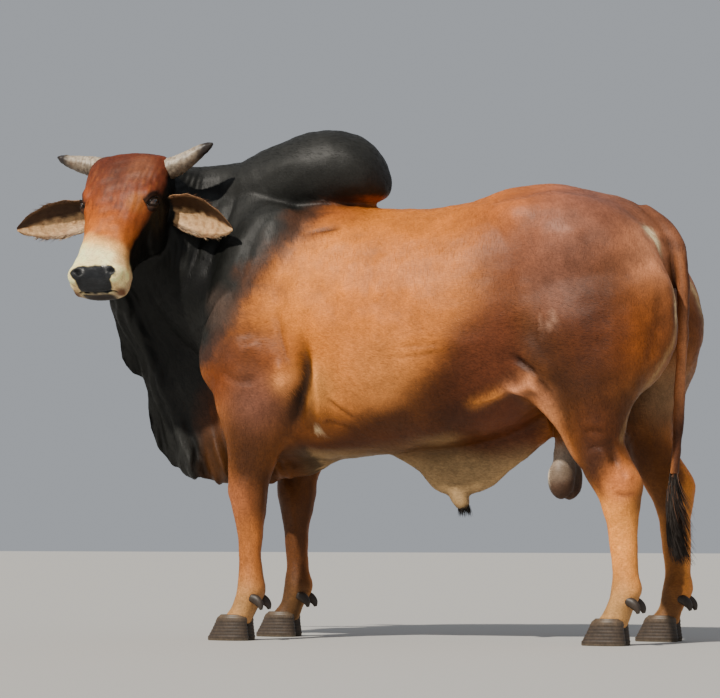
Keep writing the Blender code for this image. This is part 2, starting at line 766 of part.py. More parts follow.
def dewclaw(name, x, y, sign):
    rows = [
        (x - 0.024, y, 0.142, 0.011, 0.014, 0.014),
        (x - 0.003, y + sign * 0.003, 0.133, 0.012, 0.016, 0.016),
        (x + 0.011, y + sign * 0.005, 0.117, 0.009, 0.012, 0.012),
        (x + 0.015, y + sign * 0.006, 0.102, 0.004, 0.005, 0.005),
    ]
    return tube(name, rows, count=5, segments=6)


def feet():
    """Claws and dewclaws by leg: name, middle x at the coronet, middle y."""
    made = []
    for side, sign in SIDES:
        fore = FAR_FORE_BACK if sign > 0 else 0.0
        hind = FAR_HIND_BACK if sign > 0 else 0.0
        spots = (
            ("fore", -0.640 + fore, sign * LEG_Y * 0.96, -0.549 + fore),
            ("hind", 0.642 + hind, sign * LEG_Y * 1.02, 0.728 + hind),
        )
        for limb, x, y, heel in spots:
            for where, way in (("outer", sign), ("inner", -sign)):
                stem = limb + "hoof_" + side + "_" + where
                made.append(claw(stem, x, y + way * 0.0285, way))
                stem = limb + "_dewclaw_" + side + "_" + where
                made.append(dewclaw(stem, heel, y + way * 0.030, way))
    return made


def body_flesh():
    """Melt the big masses softly first, then add what is thin with little smoothing."""
    bulk = [trunk(), neck()]
    limbs = []
    webs = []
    for side, sign in SIDES:
        bulk += fore_masses("fore_" + side, sign)
        bulk += hind_masses("hind_" + side, sign)
        limbs.append(fore_leg("fore_" + side, sign, FAR_FORE_BACK if sign > 0 else 0.0))
        limbs.append(hind_leg("hind_" + side, sign, FAR_HIND_BACK if sign > 0 else 0.0))
        webs.append(flank_web("web_" + side, sign, FAR_HIND_BACK if sign > 0 else 0.0))
    soft = fused("bulk", bulk + [copy_of(limb, "upper") for limb in limbs], BODY_VOXEL, 26)
    thin = [neck(3), hump(), crest(), dewlap(), belly_fold(), skull()] + head_masses()
    body = fused("body", [soft] + limbs + webs + thin, BODY_VOXEL, 5)
    ruffle(body)
    for path, width, depth in BODY_FOLDS:
        for sign in (-1, 1):
            crease(body, [(x, sign * y, z) for x, y, z in path], width, depth)
    for path, width, depth in NECK_FOLDS:
        crease(body, path, width, depth)
    return body


# Grooves of both sides (positive depth) and raised folds (negative depth).
BODY_FOLDS = (
    (((-0.43, 0.15, 1.53), (-0.49, 0.19, 1.44), (-0.57, 0.28, 1.26), (-0.65, 0.28, 1.02)), 0.030, 0.009),
    (((-0.66, 0.28, 0.96), (-0.62, 0.30, 0.86), (-0.54, 0.31, 0.84), (-0.47, 0.32, 0.88)), 0.020, 0.006),
    (((-0.42, 0.31, 0.95), (-0.40, 0.30, 0.85), (-0.39, 0.28, 0.79), (-0.40, 0.23, 0.69)), 0.028, 0.016),
    (((-0.32, 0.32, 0.95), (-0.31, 0.31, 0.85), (-0.32, 0.27, 0.75), (-0.37, 0.21, 0.67)), 0.022, -0.006),
    (((0.40, 0.29, 0.93), (0.39, 0.29, 0.89), (0.41, 0.28, 0.84), (0.46, 0.25, 0.77)), 0.020, 0.010),
    (((0.25, 0.26, 0.80), (0.32, 0.26, 0.83), (0.39, 0.28, 0.85), (0.46, 0.28, 0.82)), 0.025, -0.012),
    (((0.79, 0.20, 1.21), (0.82, 0.22, 1.09), (0.80, 0.24, 0.94), (0.75, 0.24, 0.82)), 0.028, 0.009),
    (((0.36, 0.25, 1.42), (0.41, 0.29, 1.31), (0.38, 0.29, 1.19), (0.36, 0.31, 1.03)), 0.050, 0.008),
    (((0.63, 0.27, 0.65), (0.67, 0.26, 0.60), (0.69, 0.25, 0.54)), 0.016, 0.008),
    (((-0.05, 0.00, 1.43), (0.25, 0.00, 1.48), (0.60, 0.00, 1.47)), 0.030, 0.004),
)
NECK_FOLDS = (
    (((-0.60, -0.29, 1.17), (-0.65, -0.28, 1.15), (-0.74, -0.21, 1.07), (-0.81, -0.12, 0.98)), 0.020, 0.010),
    (((-0.67, -0.12, 1.52), (-0.68, -0.17, 1.41), (-0.71, -0.20, 1.31), (-0.78, -0.17, 1.15)), 0.018, 0.007),
    (((-0.73, -0.12, 1.50), (-0.75, -0.17, 1.40), (-0.79, -0.20, 1.28), (-0.84, -0.17, 1.12)), 0.018, 0.006),
)
DEWLAP_EDGE = (
    (-1.125, -0.150, 1.150),
    (-1.118, -0.095, 1.020),
    (-1.058, -0.020, 0.760),
    (-0.930, 0.000, 0.565),
    (-0.660, 0.000, 0.540),
)


def ruffle(body):
    """Bend the dewlap into hanging folds that fade out towards the neck."""
    points = coordinates(body)
    near = distance_to_path(points, DEWLAP_EDGE)
    loose = np.exp(-((near / 0.13) ** 2)) * (points[:, 0] < -0.5)
    phase = (points[:, 0] + 0.35 * (points[:, 2] - 0.8)) * 2 * math.pi
    points[:, 1] += loose * (0.016 * np.sin(phase / 0.115) + 0.007 * np.sin(phase / 0.061 + 1.0))
    points[:, 2] += loose * 0.007 * np.sin(phase / 0.094 + 0.5)
    set_coordinates(body, points)


def head_flesh():
    head = fused("head", [neck(3), crest(), dewlap(4), skull()] + head_masses(), HEAD_VOXEL, 9)
    ruffle(head)
    for side, sign in SIDES:
        face_creases(head, sign)
    crease(head, [to_head(*p) for p in mouth_line()], 0.0065, 0.0060)
    return head


def mouth_line():
    """Under the nose pad and back along both cheeks."""
    half = [(0.000, -0.040, -0.535), (0.048, -0.048, -0.524), (0.078, -0.075, -0.500), (0.085, -0.105, -0.455)]
    return [(-x, y, z) for x, y, z in reversed(half[1:])] + half


def eye_axes():
    """Out of the eye, along its slit towards the muzzle, and across the slit."""
    out = Vector(EYE_OUT).normalized()
    along = Vector(EYE_ALONG)
    along = (along - out * along.dot(out)).normalized()
    return out, along, out.cross(along)


def eye_point(sign, forward, over, outward):
    """A place beside one eye, measured along its own axes."""
    out, along, across = eye_axes()
    p = Vector(EYE_CENTRE) + out * outward + along * forward + across * over
    return to_head(sign * p.x, p.y, p.z)


def lid_ring(sign, grow, turns=1.0):
    """Points round one eye from its front corner over the upper lid."""
    angles = [k / 12 * 2 * math.pi * turns for k in range(13)]
    return [
        eye_point(sign, (0.023 + grow) * math.cos(a), (0.0135 + grow) * math.sin(a), 0.018)
        for a in angles
    ]


def slit(sign):
    """The almond opening between the lids of one eye."""
    bm = bmesh.new()
    bmesh.ops.create_icosphere(bm, subdivisions=3, radius=1.0)
    for vert in bm.verts:
        pinch = 1.0 - 0.35 * vert.co.x ** 2
        vert.co = eye_point(sign, vert.co.x * 0.0225, vert.co.y * 0.0145 * pinch, 0.024 + vert.co.z * 0.020)
    return new_object("slit", bm)


def face_creases(head, sign):
    """Lids, nostril, jaw edge and the bone under the eye of one side."""
    crease(head, lid_ring(sign, 0.004), 0.0060, -0.0032)
    crease(head, lid_ring(sign, 0.014, 0.5), 0.0060, 0.0030)
    comma = [(0.046, -0.003, -0.482), (0.061, -0.005, -0.476), (0.075, -0.016, -0.484), (0.077, -0.030, -0.500)]
    crease(head, [to_head(sign * x, y, z) for x, y, z in comma], 0.0085, 0.0120)
    bone = [(0.104, -0.060, -0.215), (0.090, -0.055, -0.270), (0.078, -0.050, -0.320)]
    crease(head, [to_head(sign * x, y, z) for x, y, z in bone], 0.0180, -0.0050)
    jaw = [(0.080, -0.215, -0.150), (0.074, -0.225, -0.230), (0.060, -0.190, -0.310), (0.052, -0.155, -0.390)]
    crease(head, [to_head(sign * x, y, z) for x, y, z in jaw], 0.0160, -0.0050)


def take(source, name, walls):
    """Split a region off a solid and leave a thin gap behind."""
    part = copy_of(source, name)
    cutter = region("cutter", walls)
    boolean(part, cutter, "INTERSECT")
    remove([cutter])
    cut_off(source, walls)
    return largest_only(part)


def cut_off(source, walls):
    cutter = region("cutter", walls, GAP)
    boolean(source, cutter, "DIFFERENCE")
    remove([cutter])


def clear_of(obj, other):
    """Cut an object back so that it meets another face to face."""
    tool = grown(other, GAP)
    boolean(obj, tool, "DIFFERENCE")
    remove([tool])
    return largest_only(obj)


HEAD_WALLS = (
    ((-0.930, -0.110, 1.4), (0.42, 0.907, 0)),
    ((-0.70, 0, 0), (1, 0, 0)),
    ((0, -0.154, 1.290), (0, 0.565, -0.826)),
)
HUMP_WALLS = (((-0.45, 0, 1.470), (0.04, 0, -1)), ((-0.75, 0, 0), (-1, 0, 0)), ((-0.10, 0, 0), (1, 0, 0)))
DEWLAP_WALLS = (((-1.04, 0, 1.18), (0.863, 0, 0.506)), ((0, 0, 1.30), (0, 0, 1)))
NECK_WALLS = (((-0.72, 0, 1.30), (0.96, 0, 0.20)), ((0, 0, 0.60), (0, 0, -1)))


def limb_walls(sign, root, slope, front, back):
    """The region of one limb: outwards of a wall that rises from the groin to the flank."""
    return (
        ((0, sign * 0.05, root), (0, -sign * math.sin(slope), math.cos(slope))),
        ((0, sign * 0.012, 0), (0, -sign, 0)),
        ((front, 0, 0), (-1, 0, 0)),
        ((back, 0, 0), (1, 0, 0)),
    )


def build():
    for obj in list(bpy.data.objects):
        bpy.data.objects.remove(obj)
    slots = {
        "hide": material("hide", (0.36, 0.16, 0.075), 0.75),
        "dark_hide": material("dark_hide", (0.035, 0.030, 0.032), 0.75),
        "horn": material("horn", (0.42, 0.38, 0.31), 0.55),
        "hoof": material("hoof", (0.060, 0.050, 0.045), 0.45),
        "eye": material("eye", (0.015, 0.010, 0.008), 0.10),
        "hair": material("hair", (0.020, 0.016, 0.015), 0.60),
    }
    parts = {}
    body = thinned(body_flesh(), BODY_TRIANGLES)
    fine = thinned(head_flesh(), HEAD_TRIANGLES)
    head = take(fine, "head_node", HEAD_WALLS)
    remove([fine])
    cut_off(body, HEAD_WALLS)
    parts["head"] = (head, "hide")
    for foot in feet():
        parts[foot.name] = (foot, "hoof")
        if "hoof" in foot.name:
            tool = grown(foot, GAP)
            boolean(body, tool, "DIFFERENCE")
            remove([tool])
    largest_only(body)
    for side, sign in SIDES:
        fore = take(body, "foreleg_" + side, limb_walls(sign, 0.60, math.radians(48), -0.86, -0.37))
        parts["foreleg_" + side] = (fore, "hide")
        hind = take(body, "hindleg_" + side, limb_walls(sign, 0.72, math.radians(56), 0.33, 1.10))
        parts["hindleg_" + side] = (hind, "hide")
    largest_only(body)
    lump = take(body, "hump", HUMP_WALLS)
    parts["hump"] = (lump, "dark_hide")
    flap = take(body, "dewlap", DEWLAP_WALLS)
    parts["dewlap"] = (flap, "dark_hide")
    crest = take(body, "neck", NECK_WALLS)
    parts["neck"] = (crest, "dark_hide")
    parts["torso"] = (largest_only(body), "hide")
    parts["torso"][0].name = "torso"
    for side, sign in SIDES:
        ball = eye("eye_" + side, sign)
        opening = slit(sign)
        boolean(head, opening, "DIFFERENCE")
        remove([opening])
        tool = grown(ball, GAP)
        boolean(head, tool, "DIFFERENCE")
        remove([tool])
        parts["eye_" + side] = (ball, "eye")
    largest_only(head)
    for side, sign in SIDES:
        rise, root = (0.036, -0.034) if sign < 0 else (0.018, -0.014)
        spike = clear_of(horn("horn_" + side, sign, rise, root), head)
        parts["horn_" + side] = (spike, "horn")
        cup = clear_of(ear("ear_" + side, sign), head)
        parts["ear_" + side] = (cup, "hide")
    for name, made, slot in (("tail", tail(), "hide"), ("scrotum", scrotum(), "hide"), ("sheath", sheath(), "hide")):
        parts[name] = (clear_of(made, parts["torso"][0]), slot)
    switch = clear_of(tail_switch(), parts["tail"][0])
    parts["tail_switch"] = (switch, "hair")
    for name, (obj, slot) in parts.items():
        if "dewclaw" in name:
            limb = name.split("_dewclaw_")[0] + "leg_" + name.split("_")[2]
            clear_of(obj, parts[limb][0])
        obj.name = name
        obj.data.name = name
        obj.data.transform(Matrix.Translation((ORIGIN_X, ORIGIN_Y, 0)))
        obj.data.materials.clear()
        obj.data.materials.append(slots[slot])


build()
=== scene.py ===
# %% [markdown]
# # A life-size zebu bull, head turned to its left
# The real animal is one soft skin over bone and muscle, with separate hard parts: eyes,
# horns and claws. So this lesson makes one closed skin for all the flesh, paints it
# vertex by vertex from a few named places, lays short flat tufts of hair over it, and
# then adds the hard parts and the long hair of the tail. All sizes are metres. The bull
# faces -X, its left side is -Y, and the floor is z = 0.

# %% Load the fixed frame
import math

import bmesh
import bpy
import numpy as np
from mathutils import Matrix, Vector
from mathutils.bvhtree import BVHTree
from mathutils.geometry import barycentric_transform


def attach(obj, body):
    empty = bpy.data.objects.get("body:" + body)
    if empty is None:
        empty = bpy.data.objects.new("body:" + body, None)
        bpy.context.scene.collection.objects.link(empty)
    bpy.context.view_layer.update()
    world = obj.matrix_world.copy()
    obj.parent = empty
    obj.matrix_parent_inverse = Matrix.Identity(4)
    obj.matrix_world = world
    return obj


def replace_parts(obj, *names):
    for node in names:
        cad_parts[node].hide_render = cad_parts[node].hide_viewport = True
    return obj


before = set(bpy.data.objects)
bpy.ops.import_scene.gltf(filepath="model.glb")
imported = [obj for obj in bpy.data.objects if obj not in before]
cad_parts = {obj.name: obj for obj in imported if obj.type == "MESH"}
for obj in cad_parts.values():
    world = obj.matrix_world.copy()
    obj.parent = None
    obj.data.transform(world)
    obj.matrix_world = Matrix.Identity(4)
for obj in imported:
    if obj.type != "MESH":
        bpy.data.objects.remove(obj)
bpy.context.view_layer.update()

# %% [markdown]
# ## Where things are
# The bull is shaped round its own middle plane, y = 0 at the shoulders, and moved at
# the end by PLACE to where the solids stand. The head has its own axes, because it is
# turned and sloped: x to its right, y out of the face, z up the face from muzzle to poll.
# The coat's depth is how far the skin lies inside the solids.

# %% Main sizes
PLACE = np.array((0.256, 0.09, 0.0))
POLL = Vector((-1.002, -0.266, 1.628))
HEAD_TURN = math.radians(88.0)
HEAD_SLOPE = math.radians(32.0)
EYE_CENTRE = (0.12, -0.044, -0.188)
EYE_RADIUS = 0.0215
EYE_OUT = (0.9, 0.42, 0.05)
EYE_ALONG = (-0.3, 0.6, -0.7)
LEG_Y = 0.195
SIDES = (("left", -1.0), ("right", 1.0))
FORE_BACK = {-1.0: 0.0, 1.0: 0.021}
HIND_BACK = {-1.0: 0.0, 1.0: 0.07}
COAT_DEPTH = 0.0025
print("poll at", tuple(round(v, 3) for v in POLL), "coat depth", COAT_DEPTH)


# %% The head's own axes
HEAD_AHEAD = Vector((-math.cos(HEAD_TURN), -math.sin(HEAD_TURN), 0))
HEAD_RIGHT = Vector((-math.sin(HEAD_TURN), math.cos(HEAD_TURN), 0))
HEAD_FORWARD = HEAD_AHEAD * math.cos(HEAD_SLOPE) + Vector((0, 0, math.sin(HEAD_SLOPE)))
HEAD_UP = HEAD_AHEAD * -math.sin(HEAD_SLOPE) + Vector((0, 0, math.cos(HEAD_SLOPE)))


def on_head(x, y, z):
    """A place on the head in the bull's frame."""
    return POLL + HEAD_RIGHT * x + HEAD_FORWARD * y + HEAD_UP * z


def head_matrix():
    turn = Matrix((HEAD_RIGHT, HEAD_FORWARD, HEAD_UP)).transposed().to_4x4()
    return Matrix.Translation(POLL) @ turn


def to_head_axes(points):
    """The reverse of on_head, for an array of points."""
    axes = np.array((HEAD_RIGHT, HEAD_FORWARD, HEAD_UP))
    return (points - np.array(POLL)) @ axes.T


print("muzzle end at", tuple(round(v, 3) for v in on_head(0, 0, -0.538)))


# %% [markdown]
# ## Shaping tools
# Flesh is round, so it can be lofted: ovals set along a bone and bridged into a closed
# tube, with ellipsoids for single muscles. The pieces overlap, and a voxel remesh melts
# them into one skin, as clay pressed together would be. These cells hold those tools.

# %% From bmesh to object and back
def new_object(name, data):
    obj = bpy.data.objects.new(name, data)
    bpy.context.scene.collection.objects.link(obj)
    return obj


def hand_over(bm, name):
    """Make an object of a closed bmesh with its faces outwards."""
    bmesh.ops.recalc_face_normals(bm, faces=bm.faces[:])
    if bm.calc_volume(signed=True) < 0:
        bmesh.ops.reverse_faces(bm, faces=bm.faces[:])
    mesh = bpy.data.meshes.new(name)
    bm.to_mesh(mesh)
    bm.free()
    return new_object(name, mesh)


def discard(objects):
    for obj in objects:
        mesh = obj.data
        bpy.data.objects.remove(obj)
        bpy.data.meshes.remove(mesh)


def baked(obj):
    """Apply an object's modifiers to its mesh."""
    graph = bpy.context.evaluated_depsgraph_get()
    graph.update()
    mesh = bpy.data.meshes.new_from_object(obj.evaluated_get(graph))
    old = obj.data
    obj.modifiers.clear()
    obj.data = mesh
    bpy.data.meshes.remove(old)
    return obj


def points_of(obj):
    flat = np.empty(len(obj.data.vertices) * 3)
    obj.data.vertices.foreach_get("co", flat)
    return flat.reshape(-1, 3)


def normals_of(obj):
    flat = np.empty(len(obj.data.vertices) * 3)
    obj.data.vertex_normals.foreach_get("vector", flat)
    return flat.reshape(-1, 3)


def place_points(obj, points):
    obj.data.vertices.foreach_set("co", np.ascontiguousarray(points, dtype=float).ravel())
    obj.data.update()


# %% A smooth curve through a few stations
def fair(rows, count):
    """Sample a short table of stations at even steps along a smooth curve."""
    rows = np.array(rows, dtype=float)
    steps = np.linalg.norm(np.diff(rows[:, :3], axis=0), axis=1)
    at = np.concatenate([[0.0], np.cumsum(steps)])
    slopes = np.gradient(rows, at, axis=0)
    out = []
    for place in np.linspace(0.0, at[-1], count):
        k = min(int(np.searchsorted(at, place, side="right")) - 1, len(at) - 2)
        width = at[k + 1] - at[k]
        t = (place - at[k]) / width
        out.append(
            rows[k] * (1 + 2 * t) * (1 - t) ** 2
            + rows[k + 1] * t * t * (3 - 2 * t)
            + slopes[k] * width * t * (1 - t) ** 2
            - slopes[k + 1] * width * t * t * (1 - t)
        )
    return np.array(out)


# %% Lofts: one oval, a limb and a hanging fold
def circle(bm, segments):
    return bmesh.ops.create_circle(bm, cap_ends=False, segments=segments, radius=1.0)["verts"]


def oval(bm, centre, side, upper, lower, boxy, segments):
    """One closed section whose upper and lower halves may differ."""
    made = circle(bm, segments)
    for vert in made:
        angle = math.atan2(vert.co.y, vert.co.x)
        across = math.copysign(abs(math.cos(angle)) ** boxy, math.cos(angle))
        along = math.copysign(abs(math.sin(angle)) ** boxy, math.sin(angle))
        vert.co = centre + side * across + (upper if along > 0 else lower) * abs(along)
    return made


def bridge(bm, rings):
    """Join neighbouring rings and close both ends."""
    for first, second in zip(rings, rings[1:]):
        edges = set()
        for verts in (first, second):
            for vert in verts:
                edges.update(e for e in vert.link_edges if e.other_vert(vert) in verts)
        bmesh.ops.bridge_loops(bm, edges=list(edges))
    for verts in (rings[0], rings[-1]):
        loop = [e for v in verts for e in v.link_edges if e.is_boundary]
        bmesh.ops.contextual_create(bm, geom=list(set(loop)))


def limb(name, rows, up=(0, 0, 1), count=28, segments=28, boxy=1.0, along=None):
    """Loft ovals along a path; each row is x, y, z, half width, half up, half down."""
    bm = bmesh.new()
    samples = fair(rows, count)
    ahead = np.gradient(samples[:, :3], axis=0)
    rings = []
    for row, way in zip(samples, ahead):
        tangent = Vector(along) if along else Vector(way).normalized()
        side = Vector(up).cross(tangent).normalized()
        lift = tangent.cross(side)
        wide, high, low = (max(v, 0.002) for v in row[3:6])
        half_oval = (side * wide, lift * high, lift * -low)
        rings.append(oval(bm, Vector(row[:3]), *half_oval, boxy, segments))
    bridge(bm, rings)
    return hand_over(bm, name)


def fold(name, rows, count=30, segments=24):
    """Loft hanging skin; each row is its inner xyz, its edge xyz and its half thickness."""
    bm = bmesh.new()
    samples = fair(rows, count)
    middles = (samples[:, :3] + samples[:, 3:6]) / 2
    ahead = np.gradient(middles, axis=0)
    rings = []
    for row, middle, way in zip(samples, middles, ahead):
        reach = Vector(row[3:6]) - Vector(middle)
        side = Vector(way).cross(reach).normalized() * row[6]
        rings.append(oval(bm, Vector(middle), side, reach, -reach, 0.9, segments))
    bridge(bm, rings)
    return hand_over(bm, name)


def muscle(name, centre, radii, tilt=0.0):
    """A rounded muscle or bone mass, tilted about the crosswise axis."""
    bm = bmesh.new()
    bmesh.ops.create_icosphere(bm, subdivisions=4, radius=1.0)
    turn = Matrix.Rotation(math.radians(tilt), 4, "Y")
    bm.transform(Matrix.Translation(Vector(centre)) @ turn @ Matrix.Diagonal((*radii, 1.0)))
    return hand_over(bm, name)


# %% Melt overlapping pieces into one skin
def melt(name, pieces, voxel, passes):
    bm = bmesh.new()
    for piece in pieces:
        bm.from_mesh(piece.data)
    discard(pieces)
    obj = hand_over(bm, name)
    join = obj.modifiers.new("join", "REMESH")
    join.mode = "VOXEL"
    join.voxel_size = voxel
    ease = obj.modifiers.new("ease", "SMOOTH")
    ease.factor = 0.5
    ease.iterations = passes
    baked(obj)
    print(name, "melted to", len(obj.data.vertices), "points")
    return obj


# %% [markdown]
# ## The body
# A bull of this kind carries a deep chest, a straight back that rises to the rump, a
# tall hump over the shoulders and a loose dewlap from throat to brisket. Each row of
# numbers below is one station along the bone, in metres.

# %% Trunk and hump
def trunk():
    """Chest, barrel and loin; x, y, z of the widest level, half width, up, down."""
    rows = [
        (-0.785, 0, 0.96, 0.06, 0.08, 0.08),
        (-0.76, 0, 0.97, 0.13, 0.16, 0.18),
        (-0.7, 0, 0.98, 0.21, 0.3, 0.3),
        (-0.6, 0, 0.98, 0.265, 0.44, 0.37),
        (-0.45, 0, 0.98, 0.305, 0.49, 0.395),
        (-0.3, 0, 0.98, 0.33, 0.47, 0.38),
        (-0.1, 0, 0.98, 0.345, 0.452, 0.362),
        (0.1, 0, 0.99, 0.345, 0.449, 0.355),
        (0.28, 0, 1.03, 0.325, 0.459, 0.35),
        (0.43, 0, 1.09, 0.29, 0.408, 0.33),
        (0.58, 0, 1.12, 0.255, 0.34, 0.28),
        (0.7, 0, 1.13, 0.2, 0.28, 0.21),
        (0.78, 0, 1.14, 0.12, 0.2, 0.12),
        (0.81, 0, 1.15, 0.05, 0.12, 0.05),
    ]
    return limb("trunk", rows, count=44, segments=36, boxy=0.92, along=(1, 0, 0))


def hump():
    rows = [
        (-0.82, 0, 1.45, 0.08, 0.1, 0.1),
        (-0.7, 0, 1.49, 0.12, 0.115, 0.12),
        (-0.56, 0, 1.53, 0.145, 0.138, 0.14),
        (-0.42, 0, 1.56, 0.155, 0.146, 0.15),
        (-0.31, 0, 1.572, 0.145, 0.125, 0.13),
        (-0.228, 0, 1.562, 0.116, 0.093, 0.112),
        (-0.184, 0, 1.541, 0.07, 0.058, 0.076),
        (-0.167, 0, 1.524, 0.03, 0.025, 0.038),
    ]
    return limb("hump", rows, count=36, segments=36, along=(1, 0, 0))


# %% Neck, its crest and the dewlap
def neck(first=0):
    """The neck from inside the chest to behind the jaw, or only its front stations."""
    rows = [
        (-0.48, 0.0, 1.2, 0.24, 0.26, 0.34),
        (-0.62, 0.0, 1.22, 0.225, 0.33, 0.34),
        (-0.74, -0.005, 1.26, 0.205, 0.345, 0.33),
        (-0.85, -0.03, 1.32, 0.175, 0.29, 0.27),
        (-0.935, -0.085, 1.39, 0.15, 0.218, 0.21),
        (-0.975, -0.165, 1.43, 0.13, 0.168, 0.17),
        (-0.99, -0.24, 1.44, 0.095, 0.12, 0.11),
    ]
    return limb("neck", rows[first:], count=26 - 3 * first)


def crest():
    """The top of the neck, from behind the horns up on to the hump."""
    rows = [
        (-0.99, -0.235, 1.5, 0.06, 0.07, 0.1),
        (-0.965, -0.165, 1.51, 0.072, 0.085, 0.12),
        (-0.915, -0.085, 1.515, 0.082, 0.09, 0.14),
        (-0.83, -0.025, 1.52, 0.092, 0.08, 0.15),
        (-0.72, 0.0, 1.52, 0.105, 0.092, 0.15),
        (-0.6, 0.0, 1.52, 0.11, 0.102, 0.15),
    ]
    return limb("crest", rows, count=20)


def dewlap():
    """The throat skin that hangs down to the brisket."""
    rows = [
        (-0.96, -0.19, 1.34, -1.065, -0.215, 1.26, 0.045),
        (-0.93, -0.13, 1.24, -1.125, -0.15, 1.15, 0.048),
        (-0.86, -0.07, 1.13, -1.118, -0.095, 1.02, 0.046),
        (-0.78, -0.03, 1.03, -1.084, -0.05, 0.898, 0.044),
        (-0.76, -0.022, 0.99, -1.044, -0.042, 0.856, 0.042),
        (-0.722, -0.01, 0.92, -1.036, -0.02, 0.76, 0.042),
        (-0.68, 0.0, 0.84, -0.998, 0.0, 0.64, 0.042),
        (-0.64, 0.0, 0.78, -0.925, 0.0, 0.55, 0.044),
        (-0.6, 0.0, 0.74, -0.8, 0.0, 0.52, 0.048),
        (-0.56, 0.0, 0.71, -0.67, 0.0, 0.508, 0.052),
        (-0.51, 0.0, 0.7, -0.54, 0.0, 0.53, 0.052),
        (-0.45, 0.0, 0.7, -0.43, 0.0, 0.548, 0.048),
        (-0.39, 0.0, 0.7, -0.345, 0.0, 0.592, 0.04),
    ]
    return fold("dewlap", rows)


# %% Belly fold, sheath, scrotum and tail
def belly_fold():
    """The skin that carries the sheath, hung along the midline."""
    rows = [
        (-0.16, 0, 0.7, -0.15, 0, 0.605, 0.03),
        (-0.07, 0, 0.69, -0.068, 0, 0.556, 0.036),
        (0.0, 0, 0.68, 0.002, 0, 0.488, 0.04),
        (0.07, 0, 0.68, 0.084, 0, 0.466, 0.04),
        (0.14, 0, 0.69, 0.17, 0, 0.492, 0.038),
        (0.22, 0, 0.71, 0.25, 0, 0.55, 0.034),
        (0.3, 0, 0.74, 0.33, 0, 0.61, 0.03),
        (0.38, 0, 0.78, 0.41, 0, 0.67, 0.028),
    ]
    return fold("belly_fold", rows)


def sheath():
    rows = [
        (0.05, 0, 0.54, 0.03, 0.034, 0.034),
        (0.07, 0, 0.49, 0.034, 0.036, 0.036),
        (0.088, 0, 0.455, 0.03, 0.03, 0.03),
        (0.096, 0, 0.438, 0.024, 0.022, 0.022),
        (0.1, 0, 0.428, 0.012, 0.011, 0.011),
    ]
    return limb("sheath", rows, up=(-1, 0, 0), count=14, segments=20)


def scrotum():
    """A hanging purse with a lobe on each side."""
    rows = [
        (0.44, 0, 0.86, 0.05, 0.045, 0.045),
        (0.44, 0, 0.74, 0.046, 0.036, 0.038),
        (0.44, 0, 0.65, 0.044, 0.034, 0.034),
        (0.438, 0, 0.59, 0.052, 0.04, 0.042),
        (0.44, 0, 0.53, 0.05, 0.04, 0.044),
        (0.444, 0, 0.48, 0.03, 0.026, 0.028),
    ]
    purse = limb("purse", rows, up=(-1, 0, 0), count=13, segments=24, along=(0, 0, -1))
    lobes = [
        muscle("lobe", (0.44 + 0.006 * sign, sign * 0.031, 0.527), (0.046, 0.04, 0.068))
        for _, sign in SIDES
    ]
    return [purse] + lobes


def tail():
    rows = [
        (0.64, 0.0, 1.385, 0.045, 0.03, 0.04),
        (0.7, 0.0, 1.38, 0.042, 0.032, 0.04),
        (0.76, -0.004, 1.35, 0.036, 0.03, 0.034),
        (0.808, -0.01, 1.3, 0.03, 0.028, 0.03),
        (0.832, -0.016, 1.22, 0.026, 0.026, 0.026),
        (0.842, -0.02, 1.12, 0.024, 0.024, 0.024),
        (0.838, -0.022, 1.0, 0.022, 0.022, 0.022),
        (0.831, -0.022, 0.88, 0.021, 0.021, 0.021),
        (0.827, -0.022, 0.78, 0.02, 0.02, 0.02),
        (0.82, -0.022, 0.66, 0.019, 0.019, 0.019),
        (0.808, -0.022, 0.54, 0.017, 0.017, 0.017),
    ]
    return limb("tail", rows, up=(-1, 0, 0.3), count=60, segments=16)


# %% Forelegs
FORE_LEG = (
    (-0.545, 1.0, 0.98, 0.115, 0.15, 0.15),
    (-0.55, 1.05, 0.88, 0.11, 0.16, 0.16),
    (-0.562, 1.05, 0.78, 0.094, 0.146, 0.146),
    (-0.56, 1.02, 0.69, 0.08, 0.118, 0.116),
    (-0.576, 1.0, 0.6, 0.068, 0.09, 0.09),
    (-0.59, 0.99, 0.53, 0.06, 0.073, 0.073),
    (-0.59, 0.98, 0.465, 0.06, 0.068, 0.066),
    (-0.59, 0.97, 0.405, 0.048, 0.055, 0.055),
    (-0.589, 0.96, 0.33, 0.038, 0.046, 0.046),
    (-0.586, 0.96, 0.23, 0.037, 0.043, 0.043),
    (-0.586, 0.96, 0.165, 0.046, 0.05, 0.056),
    (-0.606, 0.96, 0.11, 0.044, 0.045, 0.045),
    (-0.63, 0.96, 0.072, 0.052, 0.056, 0.054),
    (-0.64, 0.96, 0.05, 0.052, 0.056, 0.054),
)


def fore_leg(name, sign):
    """Arm, knee, cannon and pastern; a station's second number is a share of LEG_Y."""
    y = sign * LEG_Y
    rows = [(x + FORE_BACK[sign], y * share, *rest) for x, share, *rest in FORE_LEG]
    return limb(name, rows, up=(-1, 0, 0), count=40, segments=28, along=(0, 0, -1))


def fore_muscles(name, sign):
    """Shoulder blade, point of the shoulder and triceps."""
    return [
        muscle(name + "_blade", (-0.56, sign * 0.165, 1.13), (0.18, 0.135, 0.33), 14),
        muscle(name + "_point", (-0.67, sign * 0.165, 0.95), (0.11, 0.115, 0.16), 0),
        muscle(name + "_triceps", (-0.48, sign * 0.215, 0.89), (0.13, 0.105, 0.18), 25),
    ]


